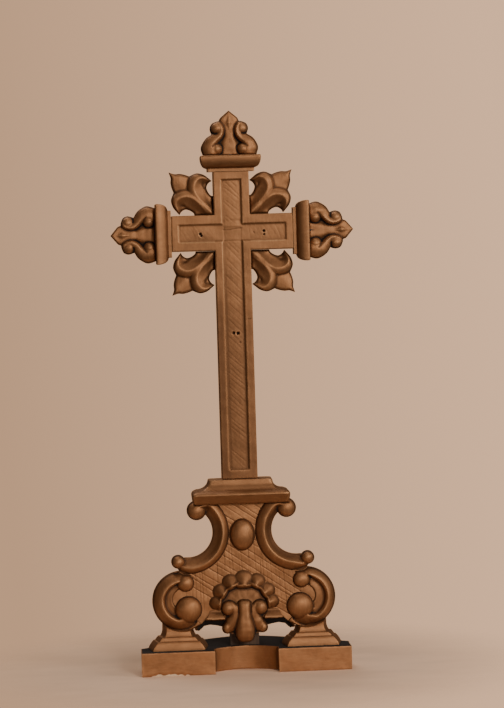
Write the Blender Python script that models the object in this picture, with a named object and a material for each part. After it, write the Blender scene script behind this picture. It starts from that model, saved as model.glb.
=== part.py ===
"""A carved and gilded altar cross on its scrolled foot, in metres with +Z up.

The foot is a plinth board with two moulded feet, which carry a carved panel with applied
scrolls, volutes, shell, boss and pendant. A post behind the panel and the cap moulding on
top of it hold the socket for the cross. The cross is two boards halved together, with end
caps, finials and corner leaves. Its tenon drops into the socket, so it lifts straight out.

X runs across, -Y is the carved front, and the origin is under the middle of the plinth.
Heights are laid out from a datum a little above the underside, and raised to it as made.
"""

import math

import bmesh
import bpy
from mathutils import Matrix

GAP = 0.0003  # left between pieces that touch
STEPS = 8  # points on a quarter of a small arc
DATUM = 0.0032  # every height below is measured from here, this far above the underside
RAISED = Matrix.Translation((0, 0, DATUM))

# The cross
CROSSING_Z = 0.546
BOARD_HALF = 0.0224  # half the width of both boards
BOARD_FRONT, BOARD_BACK = -0.018, 0.004
ARM_END = 0.0764  # from the crossing to the end of each arm
SHOULDER_Z = 0.236  # where the upright stands on the cap moulding
UPRIGHT_RECESS_HALF, UPRIGHT_RECESS_DEPTH = 0.0124, 0.0022
UPRIGHT_RECESS_LOW, UPRIGHT_RECESS_HIGH = 0.2475, 0.6125
CROSSBAR_RECESS_HALF, CROSSBAR_RECESS_DEPTH = 0.0108, 0.0018
CROSSBAR_RECESS_END = 0.0673
RECESS_SLOPE = 0.0012  # how far a recess's edge leans in
CAP_END = 0.0966  # from the crossing to the outer face of each end cap
LEAF_FRONT, LEAF_BACK = -0.016, 0.0
FINIAL_FRONT, FINIAL_BACK = -0.020, 0.002
NAIL_RADIUS, NAIL_DEPTH = 0.001, 0.009

# The socket that holds the cross
TENON_HALF_WIDTH, TENON_HALF_DEPTH, TENON_LENGTH = 0.015, 0.007, 0.048
BOARD_MIDDLE = (BOARD_FRONT + BOARD_BACK) / 2
SOCKET_FLOOR = 0.186

# The foot
PLINTH_HALF, PLINTH_LOW, PLINTH_HIGH = 0.131, -DATUM, 0.0261
PLINTH_FRONT, PLINTH_END_DEPTH, PLINTH_DEPTH = -0.062, 0.041, 0.124
RECESS_HALF, RECESS_END_DEPTH, RECESS_MID_DEPTH = 0.0397, 0.018, 0.036
BOW_POWER = 1.35  # how full the bow of the plinth's back is
FOOT_X, FOOT_BACK = 0.084, -0.019
FOOT_SPLAY = 0.005  # how much further out each side of a foot is at its back
PANEL_FRONT, PANEL_BACK = -0.030, -0.021
PANEL_LOW = 0.072
SCROLL_FRONT = -0.038
CAP_LOW, CAP_BACK = 0.2065, 0.008
POST_HALF, POST_FOOT_HALF = 0.024, 0.018
DOWEL_RADIUS = 0.004

# Centres and radii of the carved foot's right half, as (x, z) and a radius
C_SCROLL = (0.0685, 0.1715)
C_INNER, C_OUTER, C_START, C_END = 0.0315, 0.0522, 115, 272
C_TOP_CURL, C_TOP_RADIUS = (0.0565, 0.199), 0.0122
C_LOW_CURL, C_LOW_RADIUS = (0.0815, 0.1353), 0.0085
VOLUTE, VOLUTE_RADIUS = (0.0775, 0.086), 0.0378
VOLUTE_EYE, VOLUTE_EYE_RADIUS = (0.077, 0.088), 0.0125
UPPER_BALL, UPPER_BALL_RADIUS = (0.0727, 0.108), 0.0107
LOWER_BALL, LOWER_BALL_RADIUS = (0.070, 0.075), 0.017
BOSS, BOSS_WIDTH, BOSS_HEIGHT = (0.0, 0.167), 0.0148, 0.0195
SHELL = (0.0, 0.078)
SHELL_RADIUS = 0.0445
SHELL_LOBES = ((6, 0.009), (31, 0.010), (60, 0.0105), (90, 0.0125))
PEARL, PEARL_RADIUS = (0.0192, 0.0758), 0.0102

GILT = (0.33, 0.17, 0.075)
BARE_WOOD = (0.30, 0.20, 0.11)


def clear_scene():
    for old in list(bpy.data.objects):
        bpy.data.objects.remove(old)


def new_collection(name):
    made = bpy.data.collections.new(name)
    bpy.context.scene.collection.children.link(made)
    return made


def new_finish(name, colour, roughness, metallic):
    finish = bpy.data.materials.new(name)
    finish.use_nodes = True
    shader = finish.node_tree.nodes["Principled BSDF"]
    shader.inputs["Base Color"].default_value = (*colour, 1)
    shader.inputs["Roughness"].default_value = roughness
    shader.inputs["Metallic"].default_value = metallic
    return finish


def arc(centre, radius, start, end, count):
    """Points on an arc about centre, from one angle in degrees to another."""
    angles = [math.radians(start + (end - start) * i / count) for i in range(count + 1)]
    return [
        (centre[0] + radius * math.cos(a), centre[1] + radius * math.sin(a))
        for a in angles
    ]


def mirrored(half):
    """A closed outline from its right half, which runs from the axis back to the axis."""
    left = [(-x, z) for x, z in reversed(half) if x > 0]
    return half + left


def flipped(outline):
    return [(-x, z) for x, z in reversed(outline)]


def plate(outline, low, high, smooth=False, corners=()):
    """A board with its outline in XY, between two heights. Its corners stay sharp."""
    curve = bpy.data.curves.new("outline", "CURVE")
    curve.dimensions = "2D"
    curve.fill_mode = "BOTH"
    curve.extrude = (high - low) / 2
    curve.resolution_u = 4
    spline = curve.splines.new("BEZIER" if smooth else "POLY")
    points = spline.bezier_points if smooth else spline.points
    points.add(len(outline) - 1)
    for index, (x, y) in enumerate(outline):
        if smooth:
            points[index].co = (x, y, 0)
            kind = "VECTOR" if index in corners else "AUTO"
            points[index].handle_left_type = kind
            points[index].handle_right_type = kind
        else:
            points[index].co = (x, y, 0, 1)
    spline.use_cyclic_u = True
    holder = bpy.data.objects.new("outline", curve)
    bpy.context.scene.collection.objects.link(holder)
    graph = bpy.context.evaluated_depsgraph_get()
    mesh = bpy.data.meshes.new_from_object(holder.evaluated_get(graph))
    bpy.data.objects.remove(holder)
    bpy.data.curves.remove(curve)
    weld(mesh)
    mesh.transform(Matrix.Translation((0, 0, (low + high) / 2)))
    return mesh


def weld(mesh):
    shape = bmesh.new()
    shape.from_mesh(mesh)
    bmesh.ops.remove_doubles(shape, verts=shape.verts, dist=1e-6)
    bmesh.ops.recalc_face_normals(shape, faces=shape.faces)
    shape.to_mesh(mesh)
    shape.free()


def relief(outline, back, front, smooth=False, corners=()):
    """An upright board with its outline in XZ, between two depths."""
    mesh = plate(outline, -back, -front, smooth, corners)
    mesh.transform(Matrix.Rotation(math.pi / 2, 4, "X"))
    return mesh


def loft(rings):
    """A closed solid through rings of points that run the same way round."""
    shape = bmesh.new()
    corners = [[shape.verts.new(point) for point in ring] for ring in rings]
    count = len(rings[0])
    for lower, upper in zip(corners, corners[1:]):
        for i in range(count):
            j = (i + 1) % count
            shape.faces.new((lower[i], lower[j], upper[j], upper[i]))
    shape.faces.new(reversed(corners[0]))
    shape.faces.new(corners[-1])
    bmesh.ops.recalc_face_normals(shape, faces=shape.faces)
    return mesh_of(shape)


def mesh_of(shape):
    mesh = bpy.data.meshes.new("shape")
    shape.to_mesh(mesh)
    shape.free()
    return mesh


def moulding(sections, back, middle=0.0, splay=0.0):
    """A moulded block with a flat back, from (z, half width, front) sections."""
    rings = []
    for z, half, front in sections:
        left, right = middle - half, middle + half
        behind = [(right + splay, back, z), (left - splay, back, z)]
        rings.append([(left, front, z), (right, front, z)] + behind)
    return loft(rings)


def box(low, high):
    shape = bmesh.new()
    size = [top - bottom for bottom, top in zip(low, high)]
    centre = [(top + bottom) / 2 for bottom, top in zip(low, high)]
    bmesh.ops.create_cube(shape, size=1, matrix=Matrix.Diagonal((*size, 1)))
    bmesh.ops.translate(shape, verts=shape.verts, vec=centre)
    return mesh_of(shape)


def rod(radius, low, high, turn=None, segments=24):
    """A cylinder along Z between two heights, which turn can point another way."""
    shape = bmesh.new()
    bmesh.ops.create_cone(
        shape, cap_ends=True, segments=segments, radius1=radius, radius2=radius, depth=high - low
    )
    bmesh.ops.translate(shape, verts=shape.verts, vec=(0, 0, (low + high) / 2))
    mesh = mesh_of(shape)
    if turn is not None:
        mesh.transform(turn)
    return mesh


def dome(centre, width, height, back, rise):
    """Half an ellipsoid that stands forward from a flat back."""
    shape = bmesh.new()
    bmesh.ops.create_uvsphere(shape, u_segments=20, v_segments=12, radius=1)
    everything = list(shape.verts) + list(shape.edges) + list(shape.faces)
    cut = bmesh.ops.bisect_plane(
        shape, geom=everything, plane_co=(0, 0, 0), plane_no=(0, 1, 0), clear_outer=True
    )
    rim = [item for item in cut["geom_cut"] if isinstance(item, bmesh.types.BMEdge)]
    bmesh.ops.holes_fill(shape, edges=rim)
    bmesh.ops.recalc_face_normals(shape, faces=shape.faces)
    mesh = mesh_of(shape)
    mesh.transform(Matrix.Diagonal((width, rise, height, 1)))
    mesh.transform(Matrix.Translation((centre[0], back, centre[1])))
    return mesh


class Maker:
    """Adds nodes and cutters, and keeps what every node needs: collection and parent."""

    def __init__(self):
        self.pieces = new_collection("altar_cross")
        self.tools = new_collection("cutters")
        self.parent = None

    def body(self, name, location):
        self.parent = bpy.data.objects.new(name, None)
        self.parent.location = location
        self.pieces.objects.link(self.parent)

    def node(self, name, mesh, colour=GILT, roughness=0.42, metallic=0.65, turn=None):
        """One solid. Its mesh is given in the object's frame, or turned into it."""
        if turn is not None:
            mesh.transform(turn)
        made = bpy.data.objects.new(name, mesh)
        mesh.name = name
        mesh.materials.append(new_finish(name, colour, roughness, metallic))
        self.pieces.objects.link(made)
        origin = Matrix.Translation(self.parent.location)
        mesh.transform(origin.inverted() @ RAISED)
        made.parent = self.parent
        mesh.shade_smooth()
        mesh.set_sharp_from_angle(angle=math.radians(35))
        return made

    def tool(self, name, mesh, turn=None):
        mesh.transform(RAISED if turn is None else RAISED @ turn)
        made = bpy.data.objects.new(name, mesh)
        made.hide_render = True
        made.display_type = "WIRE"
        self.tools.objects.link(made)
        return made


def combine(target, other, operation="DIFFERENCE"):
    boolean = target.modifiers.new(other.name, "BOOLEAN")
    boolean.operation = operation
    boolean.object = other


def plinth_outline():
    """The plinth from above: two blocks, a curved recess between them and a bowed back."""
    half = [
        (RECESS_HALF * i / STEPS, recess_line(i / STEPS))
        for i in range(STEPS + 1)
    ]
    half += [(RECESS_HALF, PLINTH_FRONT), (PLINTH_HALF, PLINTH_FRONT)]
    count = 3 * STEPS
    for i in range(count, -1, -1):
        share = i / count
        half.append((PLINTH_HALF * share, back_line(share)))
    return mirrored(half)


def recess_line(share):
    """The depth of the recess's wall, share of the way from the middle to its end."""
    depth = RECESS_MID_DEPTH + (RECESS_END_DEPTH - RECESS_MID_DEPTH) * share**2
    return PLINTH_FRONT + depth


def back_line(share):
    """The depth of the plinth's back, share of the way from the middle to its end."""
    soft = 0.04
    rounded = (share**2 + soft**2) ** (BOW_POWER / 2) - soft**BOW_POWER
    full = (1 + soft**2) ** (BOW_POWER / 2) - soft**BOW_POWER
    bow = PLINTH_DEPTH - PLINTH_END_DEPTH
    return PLINTH_FRONT + PLINTH_END_DEPTH + bow * (1 - rounded / full)


def foot_sections():
    """A foot's (z, half width, front), from the plinth up to the neck under the volute."""
    wide, narrow, front = 0.032, 0.026, -0.050
    sections = [(PLINTH_HIGH + GAP, wide, front)]
    for i in range(STEPS + 1):
        turn = math.radians(90 * i / STEPS)
        inset = (wide - narrow) * (1 - math.cos(turn))
        sections.append((0.0282 + 0.0100 * math.sin(turn), wide - inset, front + inset))
    sections += [(0.0396, 0.0223, -0.0432), (0.0438, 0.0223, -0.0432)]
    for i in range(STEPS // 2 + 1):
        rise = i / (STEPS // 2)
        flare = 0.0045 * (1 - rise) ** 2
        sections.append((0.0442 + 0.006 * rise, 0.016 + flare, -0.0387 - 0.6 * flare))
    sections.append((0.062, 0.016, -0.0387))
    return sections


def cap_sections():
    """The cap moulding's (z, half width): a round nose under a cove and a flat top."""
    profile = [(CAP_LOW, 0.057), (0.211, 0.059), (0.2145, 0.0608), (0.2165, 0.0614)]
    profile += [(0.2185, 0.0610), (0.2205, 0.0590), (0.2222, 0.0565)]
    cove_wide, cove_high, top = 0.0155, 0.0122, 0.236
    for i in range(STEPS + 1):
        turn = math.radians(90 * i / STEPS)
        profile.append(
            (0.2227 + cove_high * (1 - math.cos(turn)), 0.0555 - cove_wide * math.sin(turn))
        )
    profile.append((top - GAP, 0.0393))
    return profile


def overhang(half):
    """The front of a moulding of this half width, which stands out less than its sides."""
    return BOARD_FRONT - 0.64 * (half - BOARD_HALF)


def grown_cap():
    """The room that the cap moulding takes, with the gap all round."""
    sections = [
        (z, half + GAP, overhang(half) - GAP) for z, half in cap_sections()
    ]
    sections[0] = (CAP_LOW - GAP, *sections[0][1:])
    return moulding(sections, CAP_BACK + GAP)


def panel_outline():
    """The ground board behind the scrolls, cut back a little inside their outlines."""
    half = [(0.0, CAP_LOW - GAP), (0.0505, CAP_LOW - GAP)]
    half += arc(C_SCROLL, C_INNER + 0.003, 120, 275, 2 * STEPS)
    half += arc(VOLUTE, VOLUTE_RADIUS - 0.0015, 84, -158, 4 * STEPS)
    half.append((0.0, PANEL_LOW))
    return mirrored(half)


def apron_outline():
    """The moulded strip under the panel, with a pointed ear at each end."""
    half = [(0.0, PANEL_LOW - GAP), (0.050, PANEL_LOW - GAP), (0.062, 0.056), (0.0632, 0.0495)]
    half += [(0.058, 0.046), (0.0543, 0.050), (0.051, 0.0538), (0.043, 0.0557)]
    half += [(0.035, 0.0543), (0.0276, 0.0525), (0.0, 0.052)]
    return mirrored(half)


def c_scroll_outline():
    """The band of the right C-scroll, between two arcs about the same centre."""
    outside = arc(C_SCROLL, C_OUTER, C_START, C_END, 3 * STEPS)
    inside = arc(C_SCROLL, C_INNER, C_END + 12, C_START, 3 * STEPS)
    return outside + inside


def volute_outline():
    """The right volute's band, open towards the panel between its two balls."""
    outside = arc(VOLUTE, VOLUTE_RADIUS, -128, 112, 4 * STEPS)
    inside = arc(VOLUTE_EYE, VOLUTE_EYE_RADIUS, 110, -110, 2 * STEPS)
    return outside + inside


def shell_outline():
    """The scalloped edge: the furthest point of any lobe in each direction."""
    lobes = list(SHELL_LOBES) + [(180 - angle, radius) for angle, radius in SHELL_LOBES[:-1]]
    outline = []
    count = 9 * STEPS
    for i in range(count + 1):
        heading = math.radians(-6 + 192 * i / count)
        reach = 0.0
        for angle, radius in lobes:
            distance = SHELL_RADIUS - radius
            off = heading - math.radians(angle)
            room = radius**2 - (distance * math.sin(off)) ** 2
            if room >= 0 and math.cos(off) > 0:
                reach = max(reach, distance * math.cos(off) + math.sqrt(room))
        if reach > 0:
            outline.append(
                (SHELL[0] + reach * math.cos(heading), SHELL[1] + reach * math.sin(heading))
            )
    outline += [(-0.030, PANEL_LOW + 0.0012), (0.030, PANEL_LOW + 0.0012)]
    return outline


def pendant_outline():
    """The tongue with the two petals that curl away behind it."""
    half = [(0.0, 0.0842), (0.006, 0.0828), (0.008, 0.079), (0.0074, 0.070)]
    half += [(0.012, 0.063), (0.019, 0.059), (0.0275, 0.0525), (0.027, 0.0473)]
    half += [(0.0235, 0.0437), (0.0177, 0.043), (0.0095, 0.0425), (0.006, 0.035), (0.0, 0.0325)]
    return mirrored(half)


def leaf_outline():
    """A corner leaf, from the inner corner between two arms out to its tip."""
    edge = [(GAP, 0.024), (0.0032, 0.025), (0.0069, 0.0303), (0.008, 0.0357)]
    edge += [(0.0053, 0.0405), (0.0014, 0.043), (0.0053, 0.0463), (0.0117, 0.051)]
    edge += [(0.0203, 0.053), (0.0295, 0.0495), (0.0352, 0.0517), (0.0416, 0.053)]
    edge += [(0.048, 0.0527)]
    tip = [(0.055, 0.055)]
    mirrored_edge = [(b, a) for a, b in reversed(edge)]
    outline = [(GAP, GAP)] + edge + tip + mirrored_edge
    corners = {0, 1, 6, 10, 14, 18, 22, 27}
    return outline, corners


def finial_outline():
    """A finial: two lower scrolls, two upper curls and a leaf tip, above the end cap."""
    low = CAP_END + GAP
    half = [(0.0335, 0.0), (0.036, 0.0097), (0.033, 0.017), (0.0285, 0.0225)]
    half += [(0.022, 0.0265), (0.024, 0.0335), (0.022, 0.0395), (0.016, 0.0425)]
    half += [(0.0125, 0.043), (0.011, 0.0465), (0.006, 0.051), (0.0, 0.056)]
    outline = [(x, low + z) for x, z in half]
    outline += [(-x, z) for x, z in reversed(outline[:-1])]
    corners = {0, 4, 8, 11, 14, 18, 22}
    return outline, corners


def end_cap_sections():
    """An end cap's (distance from the crossing, half width, front)."""
    profile = [(ARM_END + GAP, 0.0295), (0.0812, 0.0295)]
    for i in range(STEPS + 1):
        turn = math.radians(90 * i / STEPS)
        profile.append((0.0815 + 0.0085 * math.sin(turn), 0.0377 - 0.0070 * math.cos(turn)))
    profile.append((CAP_END, 0.0377))
    return [(z, half, overhang(half)) for z, half in profile]


def recess_tool(half, low, high, depth):
    """A cutter with leaning sides that sinks a panel into a board's front."""
    floor, above = BOARD_FRONT + depth, BOARD_FRONT - 0.001
    spread = RECESS_SLOPE * (floor - above) / depth
    rings = []
    for y, out in ((above, spread), (floor, 0.0)):
        left, right = -half - out, half + out
        rings.append(
            [(left, y, low - out), (right, y, low - out), (right, y, high + out), (left, y, high + out)]
        )
    return loft(rings)


def nail_tool(x, z):
    """A cutter for a nail hole in the front of a board."""
    forward = Matrix.Rotation(math.pi / 2, 4, "X")
    place = Matrix.Translation((x, BOARD_FRONT, z))
    return rod(NAIL_RADIUS, -NAIL_DEPTH, 0.002, place @ forward, segments=10)


def build_foot(maker):
    maker.body("stand", (0, 0, 0))
    plinth = maker.node("plinth", plate(plinth_outline(), PLINTH_LOW, PLINTH_HIGH))
    panel = maker.node("base_panel", relief(panel_outline(), PANEL_BACK, PANEL_FRONT))
    apron = maker.node("apron_rail", relief(apron_outline(), PANEL_BACK, SCROLL_FRONT + 0.001))
    cap_profile = [(z, half, overhang(half)) for z, half in cap_sections()]
    cap = maker.node("cap_moulding", moulding(cap_profile, CAP_BACK))
    cap_room = maker.tool("cap_room", grown_cap())

    behind = PANEL_FRONT - GAP
    for side, word in ((1, "right"), (-1, "left")):
        build_scroll(maker, side, word, behind, cap_room)
        build_volute(maker, side, word, behind)
        build_foot_block(maker, side, word, plinth, panel)
        disc = about_y(VOLUTE, side, VOLUTE_RADIUS + GAP)
        combine(apron, maker.tool(f"volute_room_{word}", disc))

    maker.node("oval_boss", dome(BOSS, BOSS_WIDTH, BOSS_HEIGHT, behind, 0.0105))
    shell = maker.node("shell", relief(shell_outline(), behind, SCROLL_FRONT + 0.001))
    pendant = maker.node("pendant", relief(pendant_outline(), behind, -0.0395))
    tongue = dome((0.0, 0.0585), 0.0082, 0.0255, -0.036, 0.011)
    combine(pendant, maker.tool("tongue", tongue), "UNION")
    for side, word in ((1, "right"), (-1, "left")):
        pearl = dome((side * PEARL[0], PEARL[1]), PEARL_RADIUS, PEARL_RADIUS, behind, 0.0125)
        combine(pendant, maker.tool(f"pearl_{word}", pearl), "UNION")
        neck = about_y((0.0118, 0.0640), side, 0.0062, PANEL_FRONT - 0.0008, -0.039)
        combine(pendant, maker.tool(f"pearl_neck_{word}", neck), "UNION")
        room = about_y(PEARL, side, PEARL_RADIUS + 2 * GAP)
        pearl_room = maker.tool(f"pearl_room_{word}", room)
        combine(shell, pearl_room)
        combine(apron, pearl_room)
    tongue_room = box((-0.0086, -0.06, 0.070), (0.0086, -0.01, 0.0848))
    combine(shell, maker.tool("tongue_room", tongue_room))
    between_pearls = box((-PEARL[0], -0.06, 0.070), (PEARL[0], -0.01, PEARL[1]))
    combine(shell, maker.tool("between_pearls", between_pearls))
    pendant_room = box((-0.0285, -0.06, 0.030), (0.0285, PANEL_FRONT - GAP, 0.0800))
    combine(apron, maker.tool("pendant_room", pendant_room))

    post = maker.node("back_post", relief(post_outline(), CAP_BACK, PANEL_BACK + GAP), BARE_WOOD, 0.7, 0)
    socket = box(
        (-TENON_HALF_WIDTH - GAP, BOARD_MIDDLE - TENON_HALF_DEPTH - GAP, SOCKET_FLOOR),
        (TENON_HALF_WIDTH + GAP, BOARD_MIDDLE + TENON_HALF_DEPTH + GAP, SHOULDER_Z + 0.01),
    )
    socket = maker.tool("socket", socket)
    combine(post, socket)
    combine(cap, socket)
    add_dowel(maker, "post_dowel", (0, BOARD_MIDDLE), 0.010, 0.058, (plinth, post))


def post_outline():
    """The post behind the panel: slim below, and wide round the socket."""
    half = [(POST_HALF, CAP_LOW - GAP), (POST_HALF, 0.080), (POST_FOOT_HALF, 0.072)]
    half.append((POST_FOOT_HALF, PLINTH_HIGH + GAP))
    return mirrored(half)


def about_y(centre, side, radius, back=0.05, front=-0.08):
    """A cylinder from front to back through a point of the foot's right or left half."""
    forward = Matrix.Rotation(math.pi / 2, 4, "X")
    place = Matrix.Translation((side * centre[0], 0, centre[1]))
    return rod(radius, -back, -front, place @ forward, segments=48)


def build_scroll(maker, side, word, behind, cap_room):
    outline = c_scroll_outline()
    if side < 0:
        outline = flipped(outline)
    scroll = maker.node(f"c_scroll_{word}", relief(outline, behind, SCROLL_FRONT))
    curls = (("top", C_TOP_CURL, C_TOP_RADIUS), ("low", C_LOW_CURL, C_LOW_RADIUS))
    for where, centre, radius in curls:
        curl = about_y(centre, side, radius, behind - 0.0005, SCROLL_FRONT - 0.002)
        combine(scroll, maker.tool(f"{where}_curl_{word}", curl), "UNION")
    combine(scroll, cap_room)


def build_volute(maker, side, word, behind):
    outline = volute_outline()
    if side < 0:
        outline = flipped(outline)
    volute = maker.node(f"volute_{word}", relief(outline, behind, SCROLL_FRONT))
    balls = (("upper", UPPER_BALL, UPPER_BALL_RADIUS), ("lower", LOWER_BALL, LOWER_BALL_RADIUS))
    for where, centre, radius in balls:
        ball = dome((side * centre[0], centre[1]), radius, radius, behind - 0.0005, 0.0115)
        combine(volute, maker.tool(f"{where}_ball_{word}", ball), "UNION")
    scroll_room = about_y(C_SCROLL, side, C_OUTER + GAP)
    combine(volute, maker.tool(f"scroll_room_{word}", scroll_room))


def build_foot_block(maker, side, word, plinth, panel):
    block = moulding(foot_sections(), FOOT_BACK, side * FOOT_X, FOOT_SPLAY)
    foot = maker.node(f"foot_{word}", block)
    seat = about_y(VOLUTE, side, VOLUTE_RADIUS + GAP)
    combine(foot, maker.tool(f"foot_seat_{word}", seat))
    place = (side * FOOT_X, (PANEL_FRONT + PANEL_BACK) / 2)
    add_dowel(maker, f"foot_dowel_{word}", place, 0.012, 0.062, (plinth, foot, panel), 0.002)


def add_dowel(maker, name, place, low, high, holders, radius=DOWEL_RADIUS):
    """An upright dowel, and the hole for it through each piece that holds it."""
    where = Matrix.Translation((place[0], place[1], 0))
    maker.node(name, rod(radius, low, high, where, 16), BARE_WOOD, 0.7, 0)
    hole = maker.tool(f"{name}_hole", rod(radius + GAP, low - GAP, high + GAP, where, 16))
    for holder in holders:
        combine(holder, hole)


def build_cross(maker):
    maker.body("cross", (0, BOARD_MIDDLE, SHOULDER_Z + DATUM))
    top = CROSSING_Z + ARM_END
    upright = maker.node(
        "upright", box((-BOARD_HALF, BOARD_FRONT, SHOULDER_Z + GAP), (BOARD_HALF, BOARD_BACK, top))
    )
    tenon = box(
        (-TENON_HALF_WIDTH, BOARD_MIDDLE - TENON_HALF_DEPTH, SHOULDER_Z - TENON_LENGTH),
        (TENON_HALF_WIDTH, BOARD_MIDDLE + TENON_HALF_DEPTH, SHOULDER_Z + 0.01),
    )
    combine(upright, maker.tool("tenon", tenon), "UNION")
    crossbar = maker.node(
        "crossbar",
        box(
            (-ARM_END, BOARD_FRONT, CROSSING_Z - BOARD_HALF),
            (ARM_END, BOARD_BACK, CROSSING_Z + BOARD_HALF),
        ),
    )
    cut_halving(maker, upright, crossbar)

    recess = recess_tool(
        UPRIGHT_RECESS_HALF, UPRIGHT_RECESS_LOW, UPRIGHT_RECESS_HIGH, UPRIGHT_RECESS_DEPTH
    )
    combine(upright, maker.tool("upright_recess", recess))
    recess = recess_tool(
        CROSSBAR_RECESS_END,
        CROSSING_Z - CROSSBAR_RECESS_HALF,
        CROSSING_Z + CROSSBAR_RECESS_HALF,
        CROSSBAR_RECESS_DEPTH,
    )
    crossbar_recess = maker.tool("crossbar_recess", recess)
    combine(upright, crossbar_recess)
    combine(crossbar, crossbar_recess)
    for x, z, board in ((-0.040, 0.5435, crossbar), (0.040, 0.5460, crossbar), (0, 0.420, upright)):
        combine(board, maker.tool(f"nail_hole_{board.name}_{x}", nail_tool(x, z)))

    centre = Matrix.Translation((0, 0, CROSSING_Z))
    arms = (("top", 0, upright), ("right", 90, crossbar), ("left", -90, crossbar))
    for word, angle, board in arms:
        outward = centre @ Matrix.Rotation(math.radians(angle), 4, "Y")
        cap = maker.node(f"end_cap_{word}", moulding(end_cap_sections(), BOARD_BACK), turn=outward)
        outline, corners = finial_outline()
        mesh = relief(outline, FINIAL_BACK, FINIAL_FRONT, True, corners)
        finial = maker.node(f"finial_{word}", mesh, turn=outward)
        where = outward @ Matrix.Translation((0, BOARD_MIDDLE, 0))
        low, high = ARM_END - 0.020, CAP_END + 0.022
        name = f"finial_dowel_{word}"
        maker.node(name, rod(DOWEL_RADIUS, low, high, where, 16), BARE_WOOD, 0.7, 0)
        hole = rod(DOWEL_RADIUS + GAP, low - GAP, high + GAP, where, 16)
        hole = maker.tool(f"{name}_hole", hole)
        for holder in (board, cap, finial):
            combine(holder, hole)

    names = ("upper_right", "lower_right", "lower_left", "upper_left")
    for index, word in enumerate(names):
        outline, corners = leaf_outline()
        mesh = relief(outline, LEAF_BACK, LEAF_FRONT, True, corners)
        mesh.transform(Matrix.Translation((BOARD_HALF, 0, BOARD_HALF)))
        quarter = Matrix.Rotation(math.radians(90 * index), 4, "Y")
        maker.node(f"corner_leaf_{word}", mesh, turn=centre @ quarter)


def cut_halving(maker, upright, crossbar):
    """The halving joint: the upright keeps its front half and the crossbar its back half."""
    wide = 0.1
    behind = box(
        (-wide, BOARD_MIDDLE, CROSSING_Z - BOARD_HALF - GAP),
        (wide, BOARD_BACK + 0.01, CROSSING_Z + BOARD_HALF + GAP),
    )
    combine(upright, maker.tool("halving_back", behind))
    ahead = box(
        (-BOARD_HALF - GAP, BOARD_FRONT - 0.01, CROSSING_Z - wide),
        (BOARD_HALF + GAP, BOARD_MIDDLE + GAP, CROSSING_Z + wide),
    )
    combine(crossbar, maker.tool("halving_front", ahead))


def main():
    clear_scene()
    maker = Maker()
    build_foot(maker)
    build_cross(maker)


main()
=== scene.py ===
"""The looks of a carved and gilded altar cross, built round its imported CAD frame.

Each carving is a relief: heights over a fine grid, raised by strokes that run along a ridge
and fall away to both sides, as a gouge leaves them. Mouldings, feet and the plinth are lofts
through softened rings. Shapes are laid out in millimetres, with x across, z up and the height
towards the viewer (-Y), and become metres when a mesh is made.
"""

import math

import bpy
import numpy as np
from mathutils import Matrix, Vector


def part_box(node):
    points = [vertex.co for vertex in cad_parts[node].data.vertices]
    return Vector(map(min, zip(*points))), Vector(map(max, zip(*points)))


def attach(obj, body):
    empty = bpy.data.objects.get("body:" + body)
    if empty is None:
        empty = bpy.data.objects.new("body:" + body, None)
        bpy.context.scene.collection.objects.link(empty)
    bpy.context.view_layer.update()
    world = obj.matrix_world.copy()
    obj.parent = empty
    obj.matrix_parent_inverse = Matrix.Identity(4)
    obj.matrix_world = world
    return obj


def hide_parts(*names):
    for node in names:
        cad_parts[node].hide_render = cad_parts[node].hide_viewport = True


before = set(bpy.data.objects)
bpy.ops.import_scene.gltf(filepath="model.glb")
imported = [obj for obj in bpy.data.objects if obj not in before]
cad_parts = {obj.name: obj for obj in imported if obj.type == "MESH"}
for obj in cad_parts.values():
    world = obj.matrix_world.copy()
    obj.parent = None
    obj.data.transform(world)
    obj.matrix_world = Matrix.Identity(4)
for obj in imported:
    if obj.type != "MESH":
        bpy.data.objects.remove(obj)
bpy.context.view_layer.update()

MM = 0.001
GRID, FINE_GRID = 0.6, 0.5  # the reliefs' grids, in millimetres
SEAM = 0.3  # left between carvings that meet
SHARP = math.radians(42)  # edges sharper than this stay crisp
CAVITY_SIZE = 1.7  # how wide a hollow the finish darkens, in millimetres
WAVES = 7  # how many slow waves make up a hand-worked unevenness


def node_box(name):
    """A CAD node's lowest and highest corner, in millimetres."""
    low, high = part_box(name)
    return np.array(low) / MM, np.array(high) / MM


# Driving dimensions, all read from the frame
CROSSBAR_LOW, CROSSBAR_HIGH = node_box("crossbar")
UPRIGHT_LOW, UPRIGHT_HIGH = node_box("upright")
CAP_LOW, CAP_HIGH = node_box("cap_moulding")
END_CAP_HIGH = node_box("end_cap_top")[1]
LEAF_HIGH = node_box("corner_leaf_upper_right")[1]
FINIAL_HIGH = node_box("finial_top")[1]
PLINTH_LOW, PLINTH_HIGH = node_box("plinth")
FOOT_LOW, FOOT_HIGH = node_box("foot_right")
PANEL_LOW, PANEL_HIGH = node_box("base_panel")

CROSSING = (CROSSBAR_LOW[2] + CROSSBAR_HIGH[2]) / 2
HALF = (CROSSBAR_HIGH[2] - CROSSBAR_LOW[2]) / 2  # half the width of both boards
ARM = CROSSBAR_HIGH[0]  # from the crossing to the end of an arm
FRONT, BACK = -CROSSBAR_LOW[1], -CROSSBAR_HIGH[1]  # the boards' heights
SHOULDER = CAP_HIGH[2] + SEAM
CAP_END = END_CAP_HIGH[2] - CROSSING  # from the crossing to the outside of an end cap
GROUND = -PANEL_LOW[1]  # the height of the panel that the scrolls stand on
PANEL_BACK = -PANEL_HIGH[1]
SCROLL_BACK = GROUND - 5.2  # the scrolls go this far into the panel's edge
CAP_BASE = 206.5  # where the cap moulding starts, from the datum of the foot's carvings
DATUM = CAP_LOW[2] - CAP_BASE  # the foot's carvings are laid out from this height
RAISED = Matrix.Translation((0, 0, DATUM * MM))


# ---------------------------------------------------------------- lines and distances


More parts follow.
